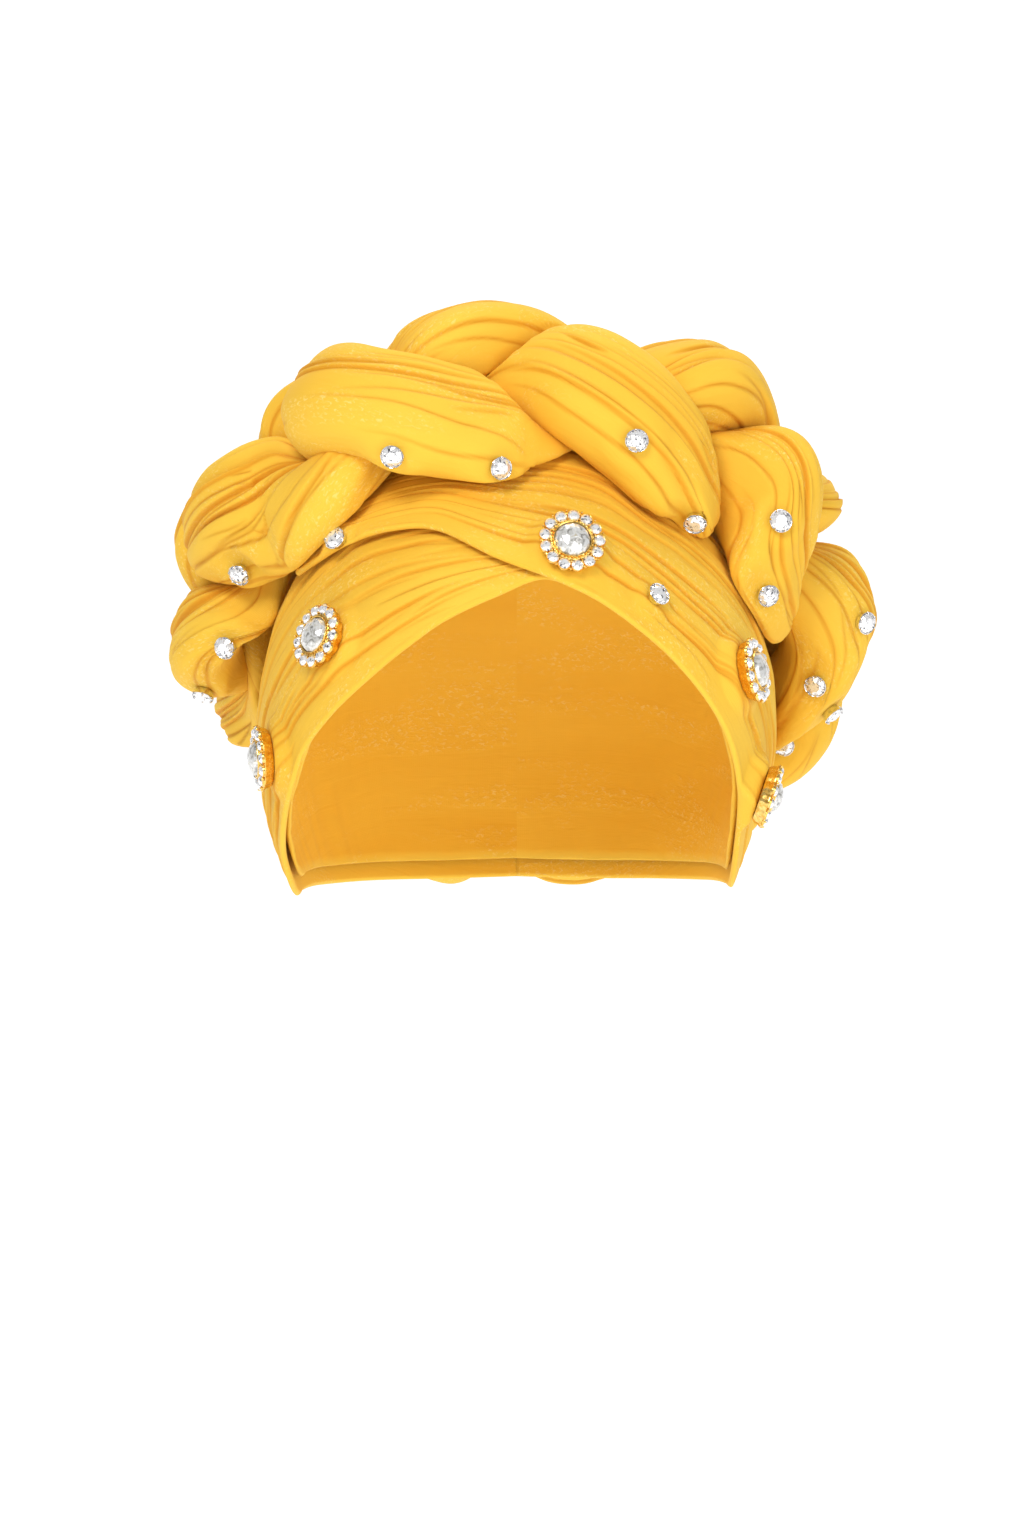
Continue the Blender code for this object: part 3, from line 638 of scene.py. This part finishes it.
def cloth_material(name):
    """Matt crepe: smooth cloth with patches of fine crinkle that carry painted glints, and painted shade, a
    deeper yellow, down in its creases.
    """
    finish, nodes, links, shader = new_material(name, {
        "Roughness": 0.72, "Specular IOR Level": 0.22, "Sheen Weight": 0.08, "Sheen Roughness": 0.5,
        "Sheen Tint": (1.0, 0.8, 0.35, 1.0)})
    uv = nodes.new("ShaderNodeUVMap")
    uv.uv_map = "cloth"
    uv = uv.outputs["UV"]

    def pattern(fineness, detail, distortion):
        return noise_node(nodes, links, stretched(nodes, links, uv, *fineness), 1.0, detail, distortion)

    drift = pattern(*DRIFT)
    cloth_colour = ramp(nodes, links, drift, (0.3, (0.87, 0.495, 0.038)), (0.7, (0.92, 0.575, 0.058)))
    # Painted glints: specks of lighter yellow where the crinkle rises, in patches; the same patches and
    # crinkle also give the bump below
    patchy = ramp(nodes, links, pattern(*PATCHES), (0.50, (0.0, 0.0, 0.0)), (0.62, (1.0, 1.0, 1.0)))
    crinkle = pattern(*CRINKLE)
    painted_glint_specks = ramp(nodes, links, crinkle, (0.54, (0.0, 0.0, 0.0)), (0.70, (1.0, 1.0, 1.0)))
    painted_glints = math_node(nodes, links, "MULTIPLY", patchy, painted_glint_specks)
    light = math_node(nodes, links, "MULTIPLY", painted_glints, 0.65)
    cloth_colour = blend_colour(nodes, links, light, cloth_colour, (1.0, 0.76, 0.24))
    # Painted shade: the crease attribute turns the yellow deeper down in the folds, where shade falls
    painted_shade_attribute = nodes.new("ShaderNodeAttribute")
    painted_shade_attribute.attribute_name = "crease"
    painted_shade_share = math_node(nodes, links, "MULTIPLY", painted_shade_attribute.outputs["Fac"], 0.85)
    cloth_colour = blend_colour(nodes, links, painted_shade_share, cloth_colour, (0.70, 0.27, 0.006))
    links.new(cloth_colour, shader.inputs["Base Color"])
    rough = math_node(nodes, links, "MULTIPLY", patchy, crinkle)
    wrinkle = pattern(*FINE_WRINKLES)
    weave = []
    for direction in ("X", "Y"):
        bands = nodes.new("ShaderNodeTexWave")
        bands.bands_direction = direction
        bands.inputs["Scale"].default_value = 620.0
        bands.inputs["Distortion"].default_value = 1.4
        links.new(uv, bands.inputs["Vector"])
        weave.append(bands.outputs["Fac"])
    woven = math_node(nodes, links, "MULTIPLY", *weave)
    normal = bump_node(nodes, links, woven, 0.3, 0.00007)
    normal = bump_node(nodes, links, rough, 0.8, 0.00035, normal)
    normal = bump_node(nodes, links, wrinkle, 0.5, 0.0004, normal)
    links.new(normal, shader.inputs["Normal"])
    return finish


def metal_material(name, dark, bright, rough):
    """Polished metal with worn, slightly uneven colour."""
    finish, nodes, links, shader = new_material(name, {"Metallic": 1.0})
    place = nodes.new("ShaderNodeTexCoord").outputs["Object"]
    uneven = noise_node(nodes, links, place, 900.0, 3.0, 0.5)
    links.new(ramp(nodes, links, uneven, (0.35, dark), (0.65, bright)), shader.inputs["Base Color"])
    shine = noise_node(nodes, links, place, 2600.0, 2.0)
    links.new(math_node(nodes, links, "MULTIPLY", shine, 2 * rough), shader.inputs["Roughness"])
    links.new(bump_node(nodes, links, uneven, 0.4, 0.0001), shader.inputs["Normal"])
    return finish


def crystal_material(name):
    """Foiled cut glass: bright facets crossed by a few dark and grey streaks of painted reflection."""
    finish, nodes, links, shader = new_material(name, {
        "Metallic": 0.55, "Roughness": 0.06, "Coat Weight": 1.0, "Coat Roughness": 0.03})
    place = nodes.new("ShaderNodeTexCoord").outputs["Object"]
    # Painted reflections: dark and grey streaks across the white of the facets
    painted_reflection_streaks = noise_node(nodes, links, place, 650.0, 2.0, 2.2)
    colour = ramp(nodes, links, painted_reflection_streaks, (0.36, (0.10, 0.10, 0.12)), (0.43, (0.97, 0.97, 0.98)),
                  (0.60, (1.0, 1.0, 1.0)), (0.70, (0.62, 0.62, 0.66)))
    links.new(colour, shader.inputs["Base Color"])
    return finish


def dome_material(name):
    """Silvery pearl glass, whose colour is mottled white and grey with faint yellow as painted reflections.
    """
    finish, nodes, links, shader = new_material(name, {
        "Metallic": 0.5, "Roughness": 0.16, "Coat Weight": 0.8, "Coat Roughness": 0.05})
    place = nodes.new("ShaderNodeTexCoord").outputs["Object"]
    mottle = noise_node(nodes, links, place, 420.0, 4.0, 1.4)
    # Painted reflections: the mottle of white, grey and faint yellow in the colour; the same mottle also
    # gives a real bump
    colour = ramp(nodes, links, mottle, (0.32, (0.26, 0.25, 0.23)), (0.45, (0.66, 0.65, 0.61)),
                  (0.57, (0.93, 0.93, 0.92)), (0.68, (0.60, 0.54, 0.38)))
    links.new(colour, shader.inputs["Base Color"])
    links.new(bump_node(nodes, links, mottle, 0.5, 0.0003), shader.inputs["Normal"])
    return finish


cloth = cloth_material("yellow_crepe")
gold = metal_material("gold", (0.80, 0.43, 0.07), (0.98, 0.70, 0.22), 0.22)
silver = metal_material("silver", (0.62, 0.62, 0.63), (0.93, 0.93, 0.94), 0.16)
crystal = crystal_material("crystal")
pearl = dome_material("pearl")


# Places of the stones, read from the frame
def node_points(name):
    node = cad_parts[name]
    points = np.empty(len(node.data.vertices) * 3)
    node.data.vertices.foreach_get("co", points)
    matrix = np.array(node.matrix_world)
    return points.reshape(-1, 3) @ matrix[:3, :3].T + matrix[:3, 3]


def stone_place(node, above, repeats):
    """Foot of a turned piece and the directions across, across and up through it, from its own points."""
    points = node_points(node)
    middle = points.mean(axis=0)
    toward_top = node_points(above).mean(axis=0) - middle
    _, _, axes = np.linalg.svd(points - middle)
    axis = max([*axes, *-axes], key=lambda a: a @ toward_top)
    height = points @ axis
    foot = points[height < height.min() + LEVEL].mean(axis=0)
    side = np.cross(axis, (0.0, 0.0, 1.0) if abs(axis[2]) < 0.9 else (0.0, 1.0, 0.0))
    side /= np.linalg.norm(side)
    other = np.cross(axis, side)
    top = points[height > height.max() - LEVEL] - foot
    angle = np.arctan2(top @ other, top @ side)
    turned = np.angle(np.mean(np.exp(1j * repeats * angle))) / repeats
    side, other = (side * np.cos(turned) + other * np.sin(turned),
                   other * np.cos(turned) - side * np.sin(turned))
    under = min(CLOTHS, key=lambda name: trees[name].find_nearest(Vector(foot.tolist()))[3])
    return foot, np.stack([side, other, axis]), under


def fitted_tree(name):
    points = node_points(name)
    faces = [tuple(face.vertices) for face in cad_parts[name].data.polygons]
    return BVHTree.FromPolygons(points.tolist(), faces)


BROOCH_COUNT, CRYSTAL_COUNT, HALO_STONES = 5, 15, 13
CLOTHS = ["wrap_over", "wrap_under", "braid_strand_1", "braid_strand_2", "braid_strand_3"]
trees = {name: fitted_tree(name) for name in CLOTHS}
brooches = [stone_place("brooch_%d_setting" % n, "brooch_%d_pearl" % n, HALO_STONES)
            for n in range(1, BROOCH_COUNT + 1)]
crystals = [stone_place("crystal_%d_cup" % n, "crystal_%d" % n, 8) for n in range(1, CRYSTAL_COUNT + 1)]


def seat_stones(points, name, places, foot, spread, near):
    """Cloth drawn to the plane of each stone's foot, easing out to its own shape over `spread`."""
    for spot, facing, under in places:
        if under != name:
            continue
        axis = facing[2]
        d = points - spot
        height = d @ axis
        aside = np.linalg.norm(d - height[..., None] * axis, axis=-1)
        pull = 1 - smooth_step((aside - foot) / spread)
        pull = pull * (1 - smooth_step((np.abs(height) - near) / (0.6 * near)))
        points = points - (pull * (height + FOOT_SINK))[..., None] * axis
    return points


# Padded rolls of the plait
def make_roll(number):
    points, core, share, angle = roll_surface(number, ROLL_SLICES, ROLL_POINTS)
    normal = grid_normals(points)
    if np.mean(np.sum(normal * (points - core), axis=-1)) < 0:
        normal = -normal
    normal = unit(np.stack([blurred(normal[..., i], *REACH_BLUR) for i in range(3)], axis=-1))
    ring = np.concatenate([points, points[:, :1]], axis=1)
    around = np.cumsum(np.linalg.norm(np.diff(ring, axis=1), axis=-1), axis=1) / MM
    span = around[:, -1]
    rate = blurred((around - np.roll(around, 1, axis=1)) % span[:, None] * ROLL_POINTS, *RATE_BLUR)
    across = (np.arange(ROLL_POINTS) - ROLL_POINTS // 2) / ROLL_POINTS
    across = across + FOLD_WANDER * noise_over(points, FOLD_WANDER_LENGTH, 31 + number)
    rng = np.random.default_rng(100 + number)
    folds = []
    for lobe in range(number, len(LOBES), 3):
        face, crown = LOBE_FOLDS[lobe][:3], LOBE_FOLDS[lobe][3:]
        here = LOBES[lobe, 0]
        halfway = here + ((LOBES[(lobe + 3) % len(LOBES), 0] - here) % 360) / 2
        for middle, own, (low, high) in ((here, face, FACE_SPAN), (halfway, crown, CROWN_SPAN)):
            for count, depth, length in (own, WRINKLES):
                folds += draw_folds(rng, middle, LOBE_HALF_LENGTH, count, depth, low, high, length, 360.0)
    for own, middle, half, count, depth, low, high in LONG_FOLDS:
        if own == number:
            folds += draw_folds(rng, middle, half, count, depth, low, high, 1.0, 360.0, LONG_LEAST)
    folded, painted_fold_shade = fold_heights(angle[:, 0], across, rate, span, folds)
    waves = noise_over(points, WAVE_LENGTH, 23 + number)
    loose = smooth_step((share - FREE_FROM) / FREE_WITHIN)
    height = folded * (PRESSED_FOLDS + (1 - PRESSED_FOLDS) * loose) + WAVE_HEIGHT * waves
    height = np.minimum(height, 0) + np.maximum(height, 0) * loose
    points = points + normal * (height * MM)[..., None]
    strand = "braid_strand_%d" % (number + 1)
    points = seat_stones(points, strand, crystals, CRYSTAL_FOOT, ROLL_EASE, ROLL_REACH)
    name = "braid_roll_%d" % (number + 1)
    return add(name, grid_mesh(name, points, True, painted_fold_shade), cloth)


# Crossed wraps
def make_wrap(node, table, stretches, over):
    """Pleated band between its rim and top edges, two layers thick with a rounded rim."""
    name = node + "_cloth"
    at = np.linspace(0, len(table) - 1, WRAP_ROWS)
    rim_az, rim_el, top_az, top_el = open_curve(table, at).T
    rim, top = toward(rim_az, rim_el), toward(top_az, top_el)
    lift = (OVER_WRAP_LIFT * over_wrap_lift(rim_az) if over else np.zeros(len(at)))[:, None]

    def toward_share(share):
        return rim[:, None, :] * (1 - share[:, None]) + top[:, None, :] * share[:, None]

    share = np.linspace(0, 1, WRAP_COLUMNS) ** RIM_CLOSER
    direction = toward_share(share)
    base = on_head(direction, WRAP_LIFT + lift)
    steps = np.linalg.norm(np.diff(base, axis=1), axis=-1) / MM
    around = np.concatenate([np.zeros((len(at), 1)), np.cumsum(steps, axis=1)], axis=1)
    span = around[:, -1]
    seed = 41 if over else 51
    across = (around + PLEAT_WANDER * noise_over(base, PLEAT_WANDER_LENGTH, seed)) / span[:, None]
    rate = np.broadcast_to(span[:, None], across.shape)
    rng = np.random.default_rng(seed)
    folds = []
    for middle, half, count, depth, low, high in stretches:
        folds += draw_folds(rng, middle, half, count, depth, low, high)
        folds += draw_folds(rng, middle, half, count, SHORT_PLEATS[0] * depth, low, high, SHORT_PLEATS[1])
    folded, painted_fold_shade = fold_heights(at, across, rate, span, folds)
    height = folded + RIPPLE_HEIGHT * noise_over(base, RIPPLE_LENGTH, seed + 3) - RIPPLE_SINK
    quiet = smooth_step((len(table) - 1 - at) / PLAIN_END)[:, None] * smooth_step(share / PLAIN_RIM)
    height = np.clip(height * quiet, -DEEPEST_PLEAT, FOLD_HIGHEST / MM)
    outer = on_head(direction, WRAP_LIFT + lift + height * MM)
    outer = seat_stones(outer, node, brooches, BROOCH_FOOT, WRAP_EASE, WRAP_REACH)
    outer = seat_stones(outer, node, crystals, CRYSTAL_FOOT, WRAP_EASE, WRAP_REACH)
    inner = on_head(toward_share(np.linspace(1, 0, WRAP_INSIDE)), WRAP_LIFT - WRAP_WALL + lift)
    first, last = outer[:, 0], inner[:, -1]
    down = unit(base[:, 0] - base[:, RIM_STEPS])
    bend = [(first + last) / 2 - (first - last) / 2 * np.cos(a) + down * np.sin(a) * WRAP_WALL / 2
            for a in np.linspace(0, np.pi, RIM_STEPS)[1:-1]]
    section = np.concatenate([outer, inner, np.stack(bend, axis=1)], axis=1)
    shade = np.zeros(section.shape[:2])
    # Painted shade of the pleats, on the outer side only
    shade[:, :WRAP_COLUMNS] = painted_fold_shade * quiet
    mesh = grid_mesh(name, section, False, shade, flip=not over)
    turn_outward(mesh, close=True)
    return add(name, mesh, cloth)


# Cap
def make_cap():
    """Stretched dome on the crown, gathered towards its middle, and plain inside."""
    under, over = (open_curve(table, np.linspace(start, len(table) - 1, 400))[:, :2]
                   for table, start in CAP_FOLLOWS)
    azimuth = np.linspace(-180, 180, CAP_COLUMNS, endpoint=False)
    low = np.interp(azimuth, *np.concatenate([under[::-1], over]).T) + CAP_OVER_RIM
    up = np.linspace(0, 1, CAP_ROWS)[None, :]
    elevation = low[:, None] + (CAP_TOP - low[:, None]) * up
    direction = toward(azimuth[:, None] + 0 * up, elevation)
    a = np.radians(azimuth)[:, None]
    crown = smooth_step((CROWN_FROM - elevation) / CROWN_WITHIN)

    def waves(count, rise, seed):
        return noise(np.sin(a) * count, np.cos(a) * count, up * rise, seed)

    gathers = crease(waves(7, 1.5, 61)) * smooth_step((elevation - GATHERS_FROM) / GATHERS_WITHIN)
    outer = on_head(direction, CAP_WALL + GATHER_HEIGHT * gathers * crown)
    slack = waves(9, 3, 67) + 0.5 * waves(22, 5, 68)
    inner = on_head(direction, CAP_INSIDE_SLACK * slack * crown)
    section = np.concatenate([outer, inner[:, ::-1]], axis=1)
    mesh = grid_mesh("cap_cloth", section, True, np.zeros(section.shape[:2]))
    turn_outward(mesh, close=True)
    return add("cap_cloth", mesh, cloth)


for number in range(3):
    strand = "braid_strand_%d" % (number + 1)
    show(make_roll(number), strand)
for node, table, stretches, flat in (("wrap_over", WRAP_OVER, OVER_FOLDS, (0.36, 0.05)),
                                     ("wrap_under", WRAP_UNDER, UNDER_FOLDS, (0.30, 0.05))):
    wrap = show(make_wrap(node, table, stretches, node == "wrap_over"), node)
cap = show(make_cap(), "cap")


# Stones and their settings, modelled in mm on a foot at the origin, facing up
def turned(rows, sides, wave=0.0, waves=1, ring=False):
    """Turned surface through rows of radius and height; a ring's rows close on themselves."""
    a = np.arange(sides) * 2 * np.pi / sides
    rows = np.asarray(rows, float)
    radius = rows[:, :1] + wave * np.cos(waves * a) * (rows[:, :1] / rows[:, 0].max()) ** 4
    height = np.broadcast_to(rows[:, 1:], radius.shape)
    points = np.stack([radius * np.cos(a), radius * np.sin(a), height], axis=-1)
    index = np.arange(points.size // 3).reshape(len(rows), sides)
    below = np.roll(index, -1, axis=0) if ring else index[1:]
    above = index if ring else index[:-1]
    faces = np.stack([above, below, np.roll(below, -1, axis=1), np.roll(above, -1, axis=1)], axis=-1)
    faces = faces.reshape(-1, 4).tolist()
    if not ring:
        faces += [index[0].tolist(), index[-1][::-1].tolist()]
    return points.reshape(-1, 3), faces


def moved(shape, spot, stretch=(1, 1, 1), lean=0.0):
    """Shape leaned towards the axis, stretched and moved to a spot."""
    points, faces = shape
    points = points * np.array(stretch)
    if lean:
        out = np.array([spot[0], spot[1], 0.0])
        out /= np.linalg.norm(out)
        points = points - out * points[:, 2:] * lean
    return points + np.array(spot), faces


def round_spots(radius, height, count, shift=0.0):
    a = (np.arange(count) + shift) * 2 * np.pi / count
    return [(radius * np.cos(t), radius * np.sin(t), height) for t in a]


def bead(radius, sides=8):
    rows = [(radius * np.cos(t), radius * np.sin(t)) for t in np.radians((72, 36, 0, -36, -72))]
    return turned(rows, sides)


def gem(radius, table, girdle, top, culet):
    """Round brilliant: table, star, kite and girdle facets above, a cone of facets below."""
    star = (table + 0.45 * (radius - table), girdle + 0.62 * (top - girdle))
    points = round_spots(table, top, 8) + round_spots(*star, 8, 0.5) + round_spots(radius, girdle, 16)
    points.append((0, 0, culet))
    faces = [list(range(8))]
    for k in range(8):
        after, before = (k + 1) % 8, (k - 1) % 8
        rim = 16 + 2 * k
        beyond = 16 + (2 * k + 2) % 16
        faces += [[k, 8 + k, after], [k, 8 + before, rim, 8 + k], [8 + k, rim, rim + 1],
                  [8 + k, rim + 1, beyond], [rim, 32, rim + 1], [rim + 1, 32, beyond]]
    return np.array(points), faces


def piece_from(name, shapes, place, finish, smooth):
    """One piece of many shapes, set on its place."""
    points, faces = [], []
    for own, own_faces in shapes:
        faces += [[i + len(points) for i in face] for face in own_faces]
        points += own.tolist()
    foot, facing, _ = place
    mesh = bpy.data.meshes.new(name)
    mesh.from_pydata((foot + np.array(points) @ facing * MM).tolist(), [], faces)
    turn_outward(mesh)
    piece = add(name, mesh, finish, smooth=smooth)
    if smooth:
        mesh.set_sharp_from_angle(angle=np.radians(40))
    return piece


# Parts of a brooch, as radius and height in mm
HALO_RADIUS = 7.75
HALO_STONE = dict(radius=1.76, table=0.85, girdle=3.45, top=4.45, culet=2.7)
PLATE = [(7.0, 0.02), (7.9, 0.1), (8.5, 1.0), (8.75, 2.2), (9.05, 2.5), (9.1, 2.85), (8.6, 3.05),
         (5.0, 3.05)]
PLATE_SCALLOP = 0.32
BEZEL = [(5.15, 2.9), (5.55, 2.9), (5.68, 4.1), (5.5, 4.45), (5.22, 4.3)]
CUP_RING = [(1.55, 2.9), (1.95, 2.9), (1.93, 3.3), (1.8, 3.62), (1.6, 3.4)]
ROPE_RADIUS, ROPE_WIDTH, ROPE_HEIGHT, ROPE_TURNS = 5.95, 0.42, 3.55, 34
CLAW_RADIUS, CLAW_HEIGHT = 0.36, 3.6
CLAW_RINGS = 9.15, 6.75
DOME = [(5.2, 3.3), (5.12, 4.15), (4.45, 5.2), (3.1, 6.05), (1.5, 6.48)]
DOME_TOP, DOME_SIDES, DOME_UNEVEN = 6.6, 14, 0.05


def rope():
    """Twisted wire round the dome."""
    sides, steps = 8, ROPE_TURNS * 5
    a = np.arange(steps) * 2 * np.pi / steps
    t = np.arange(sides) * 2 * np.pi / sides
    width = ROPE_WIDTH * (1 + 0.28 * np.cos(ROPE_TURNS * a[:, None] + 2 * t[None, :]))
    radius = ROPE_RADIUS + width * np.cos(t)
    points = np.stack([radius * np.cos(a)[:, None], radius * np.sin(a)[:, None],
                       ROPE_HEIGHT + width * np.sin(t)], axis=-1)
    index = np.arange(steps * sides).reshape(steps, sides)
    ahead, beside = np.roll(index, -1, axis=0), np.roll(index, -1, axis=1)
    faces = np.stack([index, ahead, np.roll(ahead, -1, axis=1), beside], axis=-1)
    return points.reshape(-1, 3), faces.reshape(-1, 4).tolist()


def dome(rng):
    """Rose-cut dome whose facets are a little uneven."""
    count = DOME_SIDES
    points = []
    for k, (radius, height) in enumerate(DOME):
        wobble = 0.0 if k < 2 else DOME_UNEVEN
        for spot in round_spots(radius, height, count, 0.5 * (k % 2)):
            points.append([value + rng.normal(0, wobble) for value in spot])
    points.append((0.0, 0.0, DOME_TOP))
    faces = [list(range(count))]
    for k in range(len(DOME) - 1):
        odd = k % 2
        for i in range(count):
            a, b = k * count + i, k * count + (i + 1) % count
            c, d = a + count, b + count
            faces += [[a, b, d], [a, d, c]] if odd else [[a, b, c], [b, d, c]]
    last = (len(DOME) - 1) * count
    faces += [[last + i, last + (i + 1) % count, len(points) - 1] for i in range(count)]
    return np.array(points), faces


def make_brooch(number, place):
    name = "brooch_%d" % number
    halo = round_spots(HALO_RADIUS, 0.0, HALO_STONES)
    plate = turned(PLATE, 8 * HALO_STONES, PLATE_SCALLOP, HALO_STONES)
    metal = [plate, turned(BEZEL, 56, ring=True), rope()]
    metal += [moved(turned(CUP_RING, 14, ring=True), spot) for spot in halo]
    for radius in CLAW_RINGS:
        claws = round_spots(radius, CLAW_HEIGHT, HALO_STONES, 0.5)
        metal += [moved(bead(CLAW_RADIUS), spot, (1, 1, 1.5)) for spot in claws]
    show(piece_from(name + "_gold", metal, place, gold, True), name + "_setting")
    stones = [moved(gem(**HALO_STONE), spot) for spot in halo]
    ring = piece_from(name + "_halo", stones, place, crystal, False)
    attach(ring, "root")
    rng = np.random.default_rng(200 + number)
    show(piece_from(name + "_dome", [dome(rng)], place, pearl, False), name + "_pearl")


# Parts of a crystal in its cup, as radius and height in mm
CUP_WALL = [(2.2, 0.02), (2.75, 0.05), (3.3, 1.7), (3.42, 2.2), (3.28, 2.36), (3.02, 2.15), (2.3, 0.6),
            (1.2, 0.55)]
SINGLE_STONE = dict(radius=3.0, table=1.65, girdle=2.2, top=3.1, culet=0.75)
PRONGS, PRONG_RADIUS, PRONG_RING, PRONG_HEIGHT, PRONG_LEAN = 6, 0.34, 3.12, 2.45, 0.5


def make_crystal(number, place):
    name = "crystal_%d" % number
    spots = round_spots(PRONG_RING, PRONG_HEIGHT, PRONGS, 0.25)
    prongs = [moved(bead(PRONG_RADIUS), spot, (1, 1, 1.9), PRONG_LEAN) for spot in spots]
    cup = piece_from(name + "_mount", [turned(CUP_WALL, 24), *prongs], place, silver, True)
    show(cup, name + "_cup")
    show(piece_from(name + "_stone", [gem(**SINGLE_STONE)], place, crystal, False), name)


for number, place in enumerate(brooches, 1):
    make_brooch(number, place)
for number, place in enumerate(crystals, 1):
    make_crystal(number, place)


# Studio
FLOOR_FROM, FLOOR_TO, FLOOR_BEND, WALL_TOP, FLOOR_HALF_WIDTH, FLOOR_BELOW = -2.6, 1.2, 0.8, 3.2, 3.0, 0.42
BEND_STEPS = 12


def make_backdrop():
    """Floor that curves up into a wall behind the object."""
    profile = [(FLOOR_FROM, 0.0), (FLOOR_TO, 0.0)]
    for k in range(1, BEND_STEPS + 1):
        a = np.pi / 2 * k / BEND_STEPS
        profile.append((FLOOR_TO + FLOOR_BEND * np.sin(a), FLOOR_BEND * (1 - np.cos(a))))
    profile.append((FLOOR_TO + FLOOR_BEND, WALL_TOP))
    mesh = bpy.data.meshes.new("backdrop")
    verts = [(side * FLOOR_HALF_WIDTH, y, z - FLOOR_BELOW) for y, z in profile for side in (-1, 1)]
    faces = [(2 * i, 2 * i + 1, 2 * i + 3, 2 * i + 2) for i in range(len(profile) - 1)]
    mesh.from_pydata(verts, [], faces)
    finish = new_material("backdrop", {
        "Base Color": (0.95, 0.95, 0.95, 1), "Roughness": 0.9,
        "Emission Color": (1, 1, 1, 1), "Emission Strength": 0.32})[0]
    return add("backdrop", mesh, finish)


def area_light(name, spot, target, size, power):
    data = bpy.data.lights.new(name, "AREA")
    data.shape, data.size, data.energy = "DISK", size, power
    light = bpy.data.objects.new(name, data)
    light.location = spot
    light.rotation_euler = (Vector(target) - Vector(spot)).to_track_quat("-Z", "Y").to_euler()
    bpy.context.scene.collection.objects.link(light)


make_backdrop()
area_light("key", (-0.45, -1.35, 0.8), (0, 0, -0.05), 0.6, 12.0)
area_light("fill", (0.8, -1.2, 0.15), (0, 0, -0.07), 0.9, 4.8)
area_light("top", (0.1, 0.3, 1.2), (0, 0, 0), 0.8, 6.2)
world = bpy.data.worlds.new("studio")
bpy.context.scene.world = world
world.use_nodes = True
background = world.node_tree.nodes["Background"].inputs
background["Color"].default_value = (1, 1, 1, 1)
background["Strength"].default_value = 0.43

camera = bpy.data.cameras.new("camera")
camera.sensor_width = camera.sensor_height = 36
camera.sensor_fit = "VERTICAL"
camera.lens = 109.4
camera.clip_start = 0.05
view = bpy.data.objects.new("camera", camera)
view.location = (-0.0015, -1.4, -0.0964)
view.rotation_euler = (np.pi / 2, 0, 0)
bpy.context.scene.collection.objects.link(view)
bpy.context.scene.camera = view
bpy.context.scene.view_settings.view_transform = "Standard"
